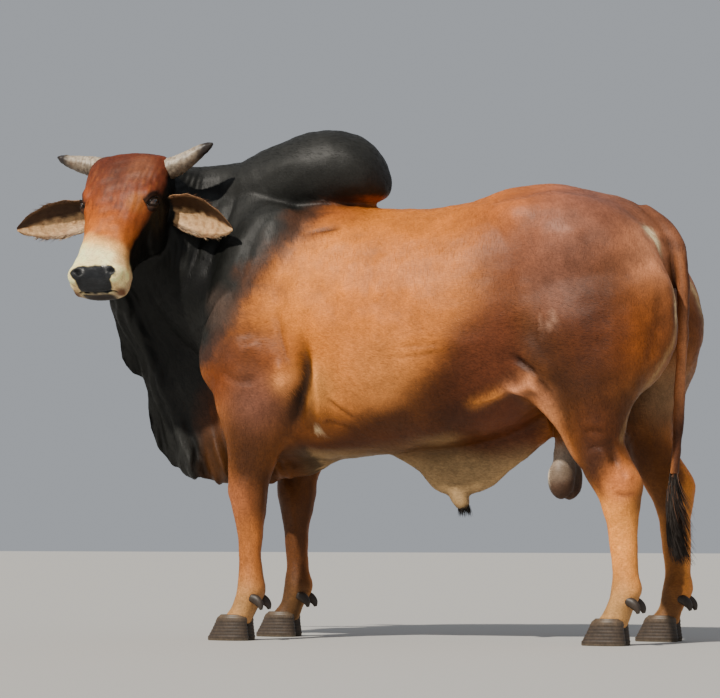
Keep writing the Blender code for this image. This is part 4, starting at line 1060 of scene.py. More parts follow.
# Each row is a name, where it is, how far it reaches, and its hair or painted light in screen
# bytes.
PLACES = (
    ("back", 0.0, 0.12, 1.42, 0.26, 184, 104, 32),
    ("under the hump", -0.29, 0.15, 1.41, 0.08, 136, 66, 24),
    ("shoulder", -0.36, 0.25, 1.22, 0.17, 210, 124, 40),
    ("shoulder edge", -0.47, 0.28, 1.12, 0.1, 206, 122, 50),
    ("low shoulder", -0.48, 0.31, 0.96, 0.08, 88, 36, 6),
    ("ribs", -0.12, 0.34, 1.05, 0.24, 196, 110, 34),
    ("last ribs", 0.14, 0.33, 1.1, 0.16, 184, 108, 46),
    ("low ribs", -0.08, 0.32, 0.86, 0.14, 186, 122, 66),
    # low barrel: darker hair under the barrel, partly painted shade
    ("low barrel", 0.17, 0.31, 0.84, 0.12, 44, 16, 2),
    ("loin", 0.3, 0.16, 1.42, 0.16, 164, 86, 34),
    # before the hip: painted shade in the hollow before the hip
    ("before the hip", 0.31, 0.28, 1.22, 0.1, 84, 33, 6),
    ("hip", 0.45, 0.27, 1.25, 0.14, 122, 80, 66),
    ("side of the rump", 0.49, 0.31, 1.11, 0.07, 150, 100, 80),
    ("top of the rump", 0.5, 0.14, 1.44, 0.14, 114, 74, 66),
    ("rump", 0.64, 0.16, 1.3, 0.14, 92, 56, 46),
    ("end of the rump", 0.76, 0.14, 1.24, 0.09, 200, 134, 98),
    ("upper thigh", 0.56, 0.3, 1.1, 0.13, 32, 12, 6),
    ("thigh", 0.62, 0.3, 0.98, 0.13, 64, 22, 8),
    ("low thigh", 0.62, 0.28, 0.84, 0.12, 26, 8, 2),
    ("buttock", 0.74, 0.24, 0.96, 0.09, 118, 58, 8),
    ("back of the thigh", 0.86, 0.16, 1.02, 0.1, 84, 46, 26),
    # flank, low flank and flank hollow: painted shade on the flank and in its hollow
    ("flank", 0.32, 0.3, 0.98, 0.11, 66, 34, 16),
    ("low flank", 0.28, 0.29, 0.9, 0.08, 62, 28, 16),
    ("flank hollow", 0.44, 0.28, 0.93, 0.08, 26, 7, 2),
    ("stifle", 0.52, 0.29, 0.82, 0.07, 14, 5, 2),
    # web: painted highlight on the lit flank web
    ("web", 0.46, 0.25, 0.735, 0.036, 186, 120, 76),
    ("gaskin", 0.63, 0.27, 0.7, 0.08, 62, 26, 12),
    ("low gaskin", 0.64, 0.26, 0.62, 0.06, 34, 12, 5),
    ("front of the hock", 0.6, 0.25, 0.55, 0.05, 20, 6, 3),
    # hock: painted highlight on the point of the hock; below the hock: painted shade under it
    ("hock", 0.69, 0.25, 0.51, 0.05, 196, 112, 62),
    ("below the hock", 0.74, 0.22, 0.46, 0.045, 8, 3, 1),
    ("hind cannon", 0.69, 0.22, 0.34, 0.12, 226, 146, 66),
    ("hind foot", 0.66, 0.21, 0.11, 0.08, 172, 132, 82),
    ("upper arm", -0.6, 0.31, 0.92, 0.08, 56, 20, 3),
    ("arm", -0.53, 0.3, 0.79, 0.09, 104, 68, 58),
    # point of the elbow: painted highlight
    ("point of the elbow", -0.425, 0.31, 0.84, 0.032, 230, 150, 86),
    ("front of arm", -0.67, 0.25, 0.86, 0.06, 100, 42, 6),
    ("low arm", -0.57, 0.26, 0.66, 0.08, 24, 8, 4),
    ("above the knee", -0.57, 0.25, 0.57, 0.06, 22, 8, 4),
    ("back of the knee", -0.53, 0.24, 0.5, 0.045, 10, 3, 1),
    ("knee", -0.62, 0.24, 0.46, 0.06, 142, 82, 50),
    ("behind the knee", -0.53, 0.22, 0.43, 0.045, 12, 4, 1),
    ("fore cannon", -0.585, 0.21, 0.3, 0.12, 160, 94, 44),
    ("fore foot", -0.61, 0.2, 0.11, 0.08, 160, 122, 76),
    # behind the elbow: painted shade in the recess; chest fold: painted highlight on the lit fold
    ("behind the elbow", -0.38, 0.25, 0.76, 0.06, 20, 9, 2),
    ("chest fold", -0.32, 0.29, 0.84, 0.06, 206, 140, 72),
    # inside of thigh: painted shade between the hind legs
    ("inside of thigh", 0.56, 0.08, 0.8, 0.14, 30, 12, 3),
    ("behind the thigh", 0.74, 0.11, 0.82, 0.08, 140, 112, 82),
)
# Where the black neck ends: a height, and how far back the black reaches there.
BLACK_EDGE = (
    (0.5, -0.788), (0.6, -0.813), (0.735, -0.849), (0.8, -0.84), (0.87, -0.8), (0.92, -0.75),
    (1.0, -0.71), (1.09, -0.67), (1.16, -0.6), (1.22, -0.575), (1.28, -0.52), (1.35, -0.46),
    (1.42, -0.43), (1.455, -0.38), (1.472, -0.28), (1.484, -0.1), (1.75, -0.06),
)
# Painted shade along creases: a width, then the path. The hock's lines, painted shade in its
# hollows and wrinkles and a painted highlight along its tendon, have their colour first.
CREASE_SHADE_LINES = (
    (0.014, (-0.395, 0.234, 1.328), (-0.322, 0.221, 1.344), (-0.245, 0.211, 1.352)),
    (0.032, (-0.385, 0.3, 1.0), (-0.356, 0.29, 0.94), (-0.356, 0.275, 0.86),
     (-0.388, 0.25, 0.8), (-0.425, 0.23, 0.75), (-0.45, 0.2, 0.68)),
    (0.022, (-0.356, 0.29, 0.935), (-0.356, 0.275, 0.86), (-0.388, 0.25, 0.8),
     (-0.42, 0.235, 0.755)),
    (0.009, (0.765, 0.062, 1.315), (0.8, 0.06, 1.27), (0.83, 0.062, 1.2), (0.845, 0.068, 1.12)),
    (0.012, (0.345, 0.293, 0.925), (0.374, 0.287, 0.897), (0.401, 0.288, 0.877),
     (0.428, 0.293, 0.846)),
    (0.014, (0.42, 0.29, 0.86), (0.45, 0.28, 0.8), (0.49, 0.26, 0.75)),
    (0.011, (0.65, 0.27, 0.67), (0.672, 0.26, 0.61), (0.664, 0.255, 0.555)),
)
HOCK_SHADE_AND_HIGHLIGHT_LINES = (
    ((84, 44, 24), 0.016, (0.6, 0.24, 0.57), (0.615, 0.24, 0.51), (0.64, 0.24, 0.45)),
    ((224, 146, 86), 0.01, (0.7, 0.25, 0.65), (0.722, 0.235, 0.59), (0.745, 0.22, 0.53)),
    ((110, 58, 30), 0.006, (0.65, 0.24, 0.492), (0.7, 0.245, 0.474), (0.75, 0.22, 0.484)),
    ((134, 74, 40), 0.007, (0.685, 0.25, 0.56), (0.7, 0.245, 0.53), (0.69, 0.245, 0.5)),
)
SLATE = (31, 31, 29)
GREY_BAND = (30, 27, 26)
print(len(PLACES), "named places of the coat")


# %% Masks
def beside(points):
    """The same points with the far side folded on to the near side."""
    return points * (1, 0, 1) + np.abs(points) * (0, 1, 0)


def around(points, centre, radii):
    """1 at a place, 0 beyond its radii."""
    away = (points - np.array(centre)) / np.array(radii)
    return step(1.0, 0.25, np.sqrt((away ** 2).sum(axis=1)))


def along_path(points, path, width, ends=0.0):
    """1 on a path, 0 beyond its width; it can fade at its ends."""
    rows = fair([(*p, 0, 0, 0) for p in path], 14)[:, :3]
    away, place = distance_to_path(points, rows)
    return bell(away, width) * fading(place, ends)


def lay(colour, mask, over):
    """Lay hair or painted light and shade, in screen bytes or as linear light, over a colour, as
    thickly as the mask says.
    """
    over = tone(*over) if isinstance(over, tuple) else over
    colour += (over - colour) * np.clip(mask, 0, 1)[:, None]


def evenly(points, *hair):
    """The same hair, in screen bytes, for every point."""
    return np.tile(tone(*hair), (len(points), 1))


def ear_axes(points, sign):
    """How far each point is out along an ear, how high across the leaf and how far off it."""
    root, reach, opening, broad = ear_frame(sign)
    offset = points - np.array(root)
    out = offset @ np.array(reach)
    offset = offset - np.outer(ear_droop(sign, out), (0, 0, 1))
    across, into = offset @ np.array(broad), offset @ np.array(opening)
    half, angle, radius = ear_section(sign, out)
    bend = np.arcsin(np.clip(across / radius, -0.98, 0.98))
    leaf = (np.cos(angle) - np.cos(bend)) * radius
    return out, across / half, into - leaf


def on_ear(points, sign):
    out, across, off = ear_axes(points, sign)
    beyond = to_head_axes(points)[:, 0] * sign > 0.15
    along = (out > 0.012) & (out < 0.31)
    return (along & (np.abs(across) < 1.25) & (np.abs(off) < 0.022) & beyond).astype(float)


# %% Named places, and the belly
def paint_places(near):
    """Each point mixes the hair, painted shade and painted highlights of the named places round
    it.
    """
    colour = np.tile(TAN * 0.35, (len(near), 1))
    weight = np.full(len(near), 0.35)
    for _, *row in PLACES:
        centre, reach, hair = row[:3], row[3], row[4:]
        away = np.linalg.norm(near - np.array(centre), axis=1)
        pull = 2.5 * bell(away, reach)
        colour += pull[:, None] * tone(*hair)
        weight += pull
    return colour / weight[:, None]


def paint_belly(points, colour):
    """The barrel darkens below a waving line, darker hair with painted shade, and the belly's fold
    is pale.
    """
    x, _, z = points.T
    trunk_only = step(-0.5, -0.4, x) * step(0.5, 0.36, x)
    wave = 0.02 * cloud(points, 0.22, 21)
    places = (-0.35, -0.1, 0.05, 0.13, 0.2, 0.3)
    rise = np.interp(x, places, (0.7, 0.77, 0.86, 0.94, 1.05, 1.11))
    soft = np.interp(x, (-0.1, 0.13, 0.2, 0.3), (0.09, 0.18, 0.25, 0.3))
    under = np.clip(0.5 - (z - rise + wave) / soft, 0, 1)
    under = under * under * (3 - 2 * under)
    under = under * trunk_only * step(0.42, 0.31, x)
    # Darker hair under the barrel, partly painted shade.
    lay(colour, 0.88 * under, (56, 22, 3))
    lay(colour, 0.6 * under * step(0.1, 0.3, x), (112, 58, 32))
    lay(colour, 0.8 * step(0.66, 0.58, z + wave) * trunk_only, (164, 134, 92))


# %% Flank, chest and sheath
def paint_flank(points, near, colour):
    # Painted highlights on the lit edges of the flank fold.
    front_fold_highlight = [(0.165, 0.25, 0.752), (0.22, 0.25, 0.772), (0.28, 0.25, 0.794),
                  (0.34, 0.26, 0.815)]
    lay(colour, 0.8 * along_path(near, front_fold_highlight, 0.022, 0.3), (182, 112, 46))
    flap_fold_highlight = [(0.28, 0.25, 0.79), (0.34, 0.26, 0.812), (0.39, 0.27, 0.826),
                 (0.44, 0.27, 0.792), (0.48, 0.25, 0.73)]
    ragged = 1 + 0.35 * cloud(points, 0.05, 24)
    lay(colour, 0.6 * around(near, (0.6, 0.25, 0.6), (0.065, 0.09, 0.1)), (62, 34, 22))
    lay(colour, 0.9 * along_path(near, flap_fold_highlight, 0.034, 0.3) * ragged, (186, 120, 80))
    # Painted highlight along the edge of the flank web.
    edge = [(0.43, 0.25, 0.745), (0.475, 0.24, 0.69), (0.505, 0.23, 0.63), (0.54, 0.23, 0.57)]
    lay(colour, 0.8 * along_path(near, edge, 0.014, 0.2), (176, 114, 70))
    lay(colour, 0.8 * around(near, (-0.335, 0.22, 0.69), (0.02, 0.04, 0.03)), (230, 196, 150))
    lay(colour, around(points, (0.104, 0, 0.4), (0.06, 0.06, 0.07)), (52, 38, 26))


# %% Purse and rear
def paint_purse(points, colour):
    x, y, z = points.T
    wave = 0.02 * cloud(points, 0.22, 21)
    purse = step(0.092, 0.076, np.hypot(x - 0.44, y))
    purse = purse * step(0.66, 0.6, z)
    # Pale skin, made brighter as painted sunlight on the top of the purse.
    lay(colour, purse, (255, 236, 212))
    lay(colour, purse * step(0.59, 0.55, z + wave), (188, 172, 150))
    lay(colour, 0.9 * purse * step(0.535, 0.49, z + wave), (70, 60, 52))
    # Painted shade on the rear of the purse.
    lay(colour, 0.8 * purse * step(0.455, 0.485, x), (60, 44, 34))


def paint_rear(points, near, colour):
    """The pale end of the rump and the line that runs down from it beside the tail."""
    lay(colour, 0.9 * around(near, (0.755, 0.115, 1.315), (0.048, 0.05, 0.032)), (250, 230, 184))
    rim = [(0.752, 0.119, 1.32), (0.776, 0.104, 1.285), (0.803, 0.105, 1.235),
           (0.832, 0.13, 1.17), (0.848, 0.155, 1.1), (0.853, 0.165, 1.02)]
    lay(colour, 0.85 * along_path(near, rim, 0.009), (224, 192, 140))
    lay(colour, 0.9 * along_path(near, rim[:3], 0.016, 0.3), (250, 230, 184))
    rear = [(0.853, 0.165, 1.02), (0.838, 0.18, 0.94), (0.795, 0.19, 0.86), (0.745, 0.195, 0.78),
            (0.705, 0.205, 0.71), (0.69, 0.22, 0.65)]
    lay(colour, 0.55 * along_path(near, rear, 0.01), (186, 146, 92))
    root = [(0.66, 0.0, 1.39), (0.72, 0.0, 1.385), (0.77, -0.004, 1.355), (0.812, -0.01, 1.3),
            (0.834, -0.016, 1.22), (0.843, -0.02, 1.12)]
    lay(colour, 0.95 * along_path(points, root, 0.05), (84, 52, 40))


# %% Scars, painted shade in creases, legs and tail
def paint_lines(points, near, colour):
    x, y, z = points.T
    for along, up, ring in ((0.47, 1.035, 0.026), (0.49, 1.012, 0.014), (0.452, 1.006, 0.012)):
        mark = step(0.006, 0.002, np.abs(np.hypot(x - along, z - up) - ring))
        lay(colour, 0.3 * mark * (y < -0.2), (180, 136, 112))
    # Painted shade along the creases.
    for width, *path in CREASE_SHADE_LINES:
        lay(colour, 0.75 * along_path(near, path, width, 0.3), (30, 13, 4))
    # Painted shade in the hock's hollows and wrinkles, and a painted highlight on its tendon.
    for hair, width, *path in HOCK_SHADE_AND_HIGHLIGHT_LINES:
        lay(colour, 0.6 * along_path(near, path, width, 0.3), hair)


def paint_legs_and_tail(near, colour):
    """Painted shade inside the legs and on the tail's edges; the tail grows darker on its way
    down.
    """
    x, y, z = near.T
    # Painted shade on the insides of the legs.
    inner = step(0.72, 0.6, z) * (np.abs(x) > 0.4)
    inner = inner * step(LEG_Y, LEG_Y - 0.03, y) * (x < 0.79)
    lay(colour, 0.75 * inner, np.where(x[:, None] < 0, tone(26, 12, 5), tone(60, 32, 14)))
    tail_part = step(0.79, 0.815, x) * step(1.27, 1.22, z)
    tail_part = tail_part * step(0.06, 0.045, y)
    lay(colour, tail_part, (176, 112, 70))
    lay(colour, tail_part * step(0.96, 1.08, z) * 0.9, (116, 70, 42))
    lay(colour, tail_part * step(0.84, 0.68, z) * 0.92, (56, 27, 12))
    heights = (0.54, 0.78, 1.0, 1.12, 1.22)
    middle = np.interp(z, heights, (0.808, 0.827, 0.838, 0.842, 0.832))
    # Painted shade along the front and back edges of the tail.
    edges = step(0.013, 0.021, np.abs(x - middle))
    lay(colour, 0.8 * tail_part * edges, (66, 32, 16))


# %% Black neck, hump and dewlap
def paint_black(points, colour):
    x, y, z = points.T
    heights, edges = np.array(BLACK_EDGE).T
    behind = x - np.interp(z, heights, edges)
    ragged = 0.016 * cloud(points, 0.1, 22) + 0.008 * cloud(points, 0.03, 23)
    off_arms = 1 - step(0.93, 0.88, z) * step(0.12, 0.18, np.abs(y))
    lay(colour, 0.6 * step(0.21, 0.06, behind + 2 * ragged) * off_arms, (106, 58, 34))
    lay(colour, 0.85 * step(0.13, 0.03, behind + ragged) * off_arms, GREY_BAND)
    lay(colour, step(0.03, -0.04, behind + ragged) * off_arms, SLATE)
    # The black hair of the neck made darker still as painted shade.
    deep = step(-0.05, -0.2, behind) * step(1.45, 1.2, z)
    lay(colour, deep, (12, 13, 11))
    # Painted shadow of the head and ear on the neck, and of the horn and ear on its top.
    lay(colour, 0.97 * around(points, (-0.78, -0.22, 1.24), (0.19, 0.2, 0.24)), (6, 7, 5))
    lay(colour, 0.9 * around(points, (-0.8, -0.11, 1.53), (0.11, 0.1, 0.07)), (10, 10, 10))
    flap = around(points, (-0.66, -0.26, 1.09), (0.13, 0.1, 0.1))
    lay(colour, 0.8 * flap * off_arms, (74, 60, 52))
    low = step(0.8, 0.62, z) * step(-0.86, -0.8, x)
    lay(colour, low * step(-0.55, -0.62, x) * off_arms, (66, 38, 14))


# %% Face
def paint_face(points, colour):
    local = to_head_axes(points)
    x, y, z = np.abs(local[:, 0]), local[:, 1], local[:, 2]
    head = step(0.045, 0.03, z) * step(-0.3, -0.25, y) * (x < 0.19)
    wave = 0.012 * cloud(points, 0.07, 31)
    levels = (-0.4, -0.3, -0.265, -0.205, -0.145, -0.1)
    corner = np.interp(z, levels, (0.125, 0.115, 0.113, 0.134, 0.16, 0.19))
    front = step(-0.066, -0.04, y + 0.5 * wave)
    front = front * step(0.006, -0.006, x - corner + 0.3 * wave) * head
    lay(colour, head * step(-0.26, -0.22, y + wave), (14, 15, 12))
    lay(colour, head * step(-0.045, -0.065, y) * (1 - step(0.0, 0.05, z)), (15, 15, 12))
    lay(colour, head * (1 - front) * step(-0.45, -0.42, z), (15, 15, 12))
    rungs = (-0.445, -0.415, -0.385, -0.34, -0.285, -0.22, -0.15, -0.06)
    down = np.interp(z - 0.3 * local[:, 0], rungs, np.arange(8.0))
    ladder = np.array([tone(*hair) for hair in (
        (255, 242, 184), (255, 234, 168), (244, 190, 112), (188, 104, 36),
        (168, 84, 20), (136, 62, 20), (112, 52, 24), (92, 40, 20),
    )])
    down = np.clip(down + 5 * wave, 0, 6.999)
    k = down.astype(int)
    face = ladder[k] + (ladder[k + 1] - ladder[k]) * (down - k)[:, None]
    colour += (face - colour) * front[:, None]
    for thick, seed, over in ((0.4, 32, (64, 28, 14)), (0.12, 34, (190, 116, 60))):
        patch = step(0.1, 1.3, cloud(local * (1.0, 1.0, 0.42), 0.018, seed))
        lay(colour, thick * front * patch * step(-0.38, -0.22, z) * step(-0.03, -0.1, z), over)
    lay(colour, 0.35 * front * around(local, (0.0, 0.0, -0.1), (0.07, 0.08, 0.12)), (84, 52, 38))
    lay(colour, 0.45 * front * around(local, (-0.085, 0.0, -0.215), (0.05, 0.08, 0.05)),
        (206, 124, 34))
    # Painted shade on the left side of the face.
    shaded_left_face = step(-0.03, -0.09, local[:, 0]) * step(-0.42, -0.36, z) * step(-0.16, -0.22, z)
    lay(colour, 0.55 * front * shaded_left_face, (104, 50, 20))
    lay(colour, 0.3 * front * around(local, (-0.07, 0.0, -0.07), (0.07, 0.08, 0.09)),
        (150, 96, 62))
    # Painted highlight along the rim of each brow.
    for sign in (-1, 1):
        brow = ((0.156, -0.05, -0.15), (0.138, -0.036, -0.2), (0.116, -0.028, -0.255))
        brow = [(sign * x, y, z) for x, y, z in brow]
        lay(colour, 0.6 * head * along_path(local, brow, 0.004), (176, 124, 84))
    paint_muzzle(points, local, colour, head)


def paint_muzzle(points, local, colour, head):
    x, y, z = np.abs(local[:, 0]), local[:, 1], local[:, 2]
    wave = 0.006 * cloud(points, 0.04, 33)
    muzzle = head * step(-0.405, -0.45, z + wave - 0.25 * np.minimum(y + 0.05, 0))
    low = -z - 0.65 * y
    lay(colour, muzzle, (255, 234, 166))
    lay(colour, muzzle * step(-0.05, -0.085, y + wave) * 0.85, (178, 154, 122))
    lay(colour, muzzle * step(-0.11, -0.135, y + wave), (48, 40, 32))
    # Painted shade on the left side of the muzzle.
    left_side = step(-0.045, -0.08, local[:, 0]) * step(-0.07, -0.05, y)
    shaded_left_muzzle = left_side * step(-0.475, -0.445, z) * step(-0.37, -0.41, z)
    lay(colour, 0.75 * head * shaded_left_muzzle, (200, 148, 92))
    for sign in (-1, 1):
        lay(colour, 0.45 * around(local, (sign * 0.07, -0.055, -0.52), (0.022, 0.03, 0.03)),
            (184, 118, 70))
        lay(colour, 0.9 * around(local, (sign * 0.081, -0.086, -0.524), (0.026, 0.032, 0.026)),
            (92, 44, 18))
    lower_lip = step(0.581, 0.588, low + 0.3 * wave) * step(-0.48, -0.495, z)
    lay(colour, head * lower_lip * step(0.066, 0.046, x), (40, 30, 24))
    # Painted shade in the groove of the mouth.
    lay(colour, 0.9 * head * along_path(local, MOUTH, 0.004), (34, 24, 18))
    lay(colour, nose_pad(local), (32, 33, 35))
    # Painted shade inside the nostrils.
    lay(colour, nostril_holes(local), (7, 7, 7))


def nose_pad(local):
    """The bare wet skin between and below the nostrils."""
    x, y, z = np.abs(local[:, 0]), local[:, 1], local[:, 2]
    low = -z - 0.65 * y
    low = low + 0.002 * cloud(local, 0.02, 35)
    half = np.interp(
        low, (0.47, 0.476, 0.486, 0.5, 0.512, 0.53, 0.561, 0.574, 0.584),
        (0.048, 0.062, 0.077, 0.083, 0.077, 0.063, 0.06, 0.053, 0.034),
    )
    shape = step(0.005, -0.003, x - half) * step(0.469, 0.477, low) * step(0.587, 0.579, low)
    return shape * (z < -0.44) * (y > -0.085)


def nostril_holes(local, width=0.0088):
    near = local * (0, 1, 1) + np.abs(local) * (1, 0, 0)
    return along_path(near, NOSTRIL, width) * (local[:, 2] < -0.44)


# %% Eyes' rims and ears
def round_eye(points, sign, reach):
    """Distance from the slit of one eye, and 1 for the points in front of it within reach."""
    centre, (out, along, over) = eye_frame(sign)
    offset = points - centre
    ahead = (offset @ out > 0) * (np.linalg.norm(offset, axis=1) < reach)
    return almond(offset @ along, offset @ over), ahead


def paint_eyes_and_ears(points, outward, colour):
    for _, sign in SIDES:
        edge, ahead = round_eye(points, sign, 0.08)
        lay(colour, ahead * step(0.03, 0.016, edge) * 0.9, (18, 15, 12))
        lay(colour, ahead * step(0.003, 0.0012, edge), (14, 11, 10))
        lay(colour, ahead * 0.25 * bell(edge - 0.01, 0.002), (96, 66, 46))
        ear_here = on_ear(points, sign)
        _, across, _ = ear_axes(points, sign)
        inside = step(-0.15, 0.15, outward @ np.array(ear_frame(sign)[2]))
        top = step(-0.1, 0.12, across + 0.08 * cloud(points, 0.05, 41))
        lay(colour, ear_here, (40, 33, 28))
        lay(colour, ear_here * inside, (214, 172, 124))
        blots = step(0.1, 0.9, cloud(points, 0.024, 42))
        lay(colour, ear_here * inside * 0.6 * blots, (150, 98, 58))
        # The upper inside of the cup: partly dark skin, partly painted shade under the rim.
        lay(colour, ear_here * inside * 0.95 * top, (52, 27, 14))
        rim = step(0.78, 0.92, np.abs(across))
        lay(colour, ear_here * rim * (across > 0) * (0.8 if sign < 0 else 0.3), (170, 128, 92))
        lay(colour, ear_here * rim * (across < 0) * 0.8, (60, 42, 30))


# %% Painted shade in creases, painted light on ridges
def cavity_of(obj):
    """How hollow the surface is at each point, positive in a crease."""
    points, outward = points_of(obj), normals_of(obj)
    count = len(obj.data.edges)
    ends = np.empty(count * 2, dtype=int)
    obj.data.edges.foreach_get("vertices", ends)
    first, second = ends.reshape(-1, 2).T
    way = points[second] - points[first]
    way /= np.maximum(np.linalg.norm(way, axis=1), 1e-9)[:, None]
    total = np.zeros(len(points))
    number = np.zeros(len(points))
    for end, sign in ((first, 1.0), (second, -1.0)):
        np.add.at(total, end, sign * (outward[end] * way).sum(axis=1))
        np.add.at(number, end, 1)
    hollow = total / np.maximum(number, 1)
    for _ in range(3):
        spread = np.zeros(len(points))
        np.add.at(spread, first, hollow[second])
        np.add.at(spread, second, hollow[first])
        hollow = 0.5 * hollow + 0.5 * spread / np.maximum(number, 1)
    return hollow


def colour_points(points, outward):
    near = beside(points)
    colour = paint_places(near)
    paint_belly(points, colour)
    paint_flank(points, near, colour)
    paint_purse(points, colour)
    paint_rear(points, near, colour)
    paint_lines(points, near, colour)
    paint_legs_and_tail(near, colour)
    paint_black(points, colour)
    paint_face(points, colour)
    paint_eyes_and_ears(points, outward, colour)
    return colour


# %% Write the colours on the skin
DARKEST = 0.002


def store_colour(obj, name, colour):
    rgba = np.concatenate([colour, np.ones((len(colour), 1))], axis=1)
    layer = obj.data.attributes.new(name, "FLOAT_COLOR", "POINT")
    layer.data.foreach_set("color", rgba.ravel())


def store_value(obj, name, values):
    layer = obj.data.attributes.new(name, "FLOAT", "POINT")
    layer.data.foreach_set("value", np.ascontiguousarray(values, dtype=float))


def colour_skin(obj):
    points, outward = points_of(obj), normals_of(obj)
    colour = colour_points(points, outward)
    hollow = cavity_of(obj)
    haunch = step(0.3, 0.45, points[:, 0]) * step(0.45, 0.6, points[:, 2])
    mottle = 1 + 0.07 * cloud(points, 0.11, 51) + 0.05 * cloud(points, 0.035, 52)
    mottle = mottle + 0.1 * haunch * cloud(points, 0.075, 53)
    # Painted shade in creases and painted light on ridges.
    shade = np.clip(1 - 4.5 * hollow, 0.45, 1.25)
    colour *= (mottle * shade)[:, None]
    colour = np.clip(colour, DARKEST, 1)
    local = to_head_axes(points)
    wet = nose_pad(local) * (1 - np.clip(2 * nostril_holes(local, 0.014), 0, 1))
    for _, sign in SIDES:
        edge, ahead = round_eye(points, sign, 0.05)
        wet = np.maximum(wet, ahead * step(0.004, 0.0015, edge))
    store_colour(obj, "coat", colour)
    store_value(obj, "wet", wet)
    return colour


skin_colour = colour_skin(skin)
print("mean colour of the skin", np.round(skin_colour.mean(axis=0), 3))


# %% [markdown]
# ## Finishes
# Hide is not one flat colour: each hair catches the light, so the colour is broken by
# fine streaks that run along the body, and the surface has a fine grain. Bare skin on
# the nose is pebbled and wet. Horn and claw are hard, with grain along their length.

# %% Small helpers for shader nodes
def new_material(name):
    made = bpy.data.materials.new(name)
    made.use_nodes = True
    tree = made.node_tree
    shader = tree.nodes["Principled BSDF"]
    return made, tree, shader


def add_node(tree, kind, **settings):
    made = tree.nodes.new(kind)
    for key, value in settings.items():
        if key in made.inputs:
            made.inputs[key].default_value = value
        else:
            setattr(made, key, value)
    return made


def dial(node, **values):
    """Set sockets by name, with _ for a space."""
    for name, value in values.items():
        node.inputs[name.replace("_", " ")].default_value = value


def object_grain(tree, stretch, scale, detail):
    """Noise in object space, stretched along one axis."""
    place = add_node(tree, "ShaderNodeTexCoord")
    fit = add_node(tree, "ShaderNodeMapping", Scale=stretch)
    noise = add_node(tree, "ShaderNodeTexNoise", Scale=scale, Detail=detail)
    tree.links.new(place.outputs["Object"], fit.inputs["Vector"])
    tree.links.new(fit.outputs["Vector"], noise.inputs["Vector"])
    return noise.outputs["Fac"]


def ramp(tree, source, low, high, start=0.3, end=0.7):
    made = add_node(tree, "ShaderNodeMapRange")
    dial(made, From_Min=start, From_Max=end, To_Min=low, To_Max=high)
    tree.links.new(source, made.inputs["Value"])
    return made.outputs["Result"]


def darken(tree, colour, factor):
    """Multiply a colour by a grey factor."""
    made = add_node(tree, "ShaderNodeVectorMath", operation="MULTIPLY")
    tree.links.new(colour, made.inputs[0])
    tree.links.new(factor, made.inputs[1])
    return made.outputs["Vector"]


def bump(tree, shader, height, strength, distance):
    made = add_node(tree, "ShaderNodeBump", Strength=strength, Distance=distance)
    tree.links.new(height, made.inputs["Height"])
    tree.links.new(made.outputs["Normal"], shader.inputs["Normal"])


def coat_colour(tree):
    return add_node(tree, "ShaderNodeAttribute", attribute_name="coat").outputs["Color"]


# %% Hide, hair, horn, claw and eye
EVEN = (1.0, 1.0, 1.0)


def coat_finish(name, grains, roughness, level=0.5):
    """A finish in the coat's own colour, made lighter and darker by a few grains."""
    made, tree, shader = new_material(name)
    broken = coat_colour(tree)
    noises = []
    for stretch, scale, detail, low, high in grains:
        noises.append(object_grain(tree, stretch, scale, detail))
        broken = darken(tree, broken, ramp(tree, noises[-1], low, high))
    tree.links.new(broken, shader.inputs["Base Color"])
    dial(shader, Roughness=roughness, Specular_IOR_Level=level)
    return made, tree, shader, noises


def hide_material():
    grains = (((0.22, 1.0, 0.55), 420.0, 3.0, 0.78, 1.22), (EVEN, 55.0, 4.0, 0.88, 1.12))
    made, tree, shader, noises = coat_finish("hide", grains, 0.52, 0.23)
    wet = add_node(tree, "ShaderNodeAttribute", attribute_name="wet").outputs["Fac"]
    tree.links.new(ramp(tree, wet, 0.52, 0.2, 0.0, 1.0), shader.inputs["Roughness"])
    pores = object_grain(tree, EVEN, 190.0, 2.0)
    height = add_node(tree, "ShaderNodeMath", operation="MULTIPLY_ADD")
    for source, socket in zip((wet, pores, noises[0]), height.inputs):
        tree.links.new(source, socket)
    bump(tree, shader, height.outputs["Value"], 0.35, 0.0012)
    return made


def hard_material(name, roughness, stretch, scale, depth):
    grains = ((stretch, scale, 4.0, 0.75, 1.2), (EVEN, 60.0, 4.0, 0.7, 1.2))
    made, tree, shader, noises = coat_finish(name, grains, roughness)
    bump(tree, shader, noises[0], 0.4, depth)
    return made


def eye_material():
    made, _, shader, _ = coat_finish("eye", (), 0.12, 0.6)
    dial(shader, Coat_Weight=1.0, Coat_Roughness=0.03)
    return made


HIDE = hide_material()
HAIR = coat_finish("hair", ((EVEN, 260.0, 2.0, 0.86, 1.14),), 0.5, 0.22)[0]
HORN = hard_material("horn", 0.48, (0.35, 1.0, 1.0), 240.0, 0.0012)
CLAW = hard_material("claw", 0.5, (1.0, 1.0, 0.35), 300.0, 0.0008)
EYE = eye_material()


# %% Settle a piece in its place
def settle(obj, material, smooth=True):
    """Move a piece from the bull's own frame to the solids' place and give it its finish."""
    obj.data.transform(Matrix.Translation(Vector(PLACE)))
    obj.data.materials.clear()
    obj.data.materials.append(material)
    obj.data.polygons.foreach_set("use_smooth", [smooth] * len(obj.data.polygons))
    obj.data.update()
    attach(obj, "root")
    return obj


# %% [markdown]
# ## Eyes and horns
# The eyeball is a ball whose colour changes with the angle from its axis: pupil, iris
# and the dark white of a bull's eye. The horn is short, thick and ringed at its base,
# grey and cream, and darker towards the tip.

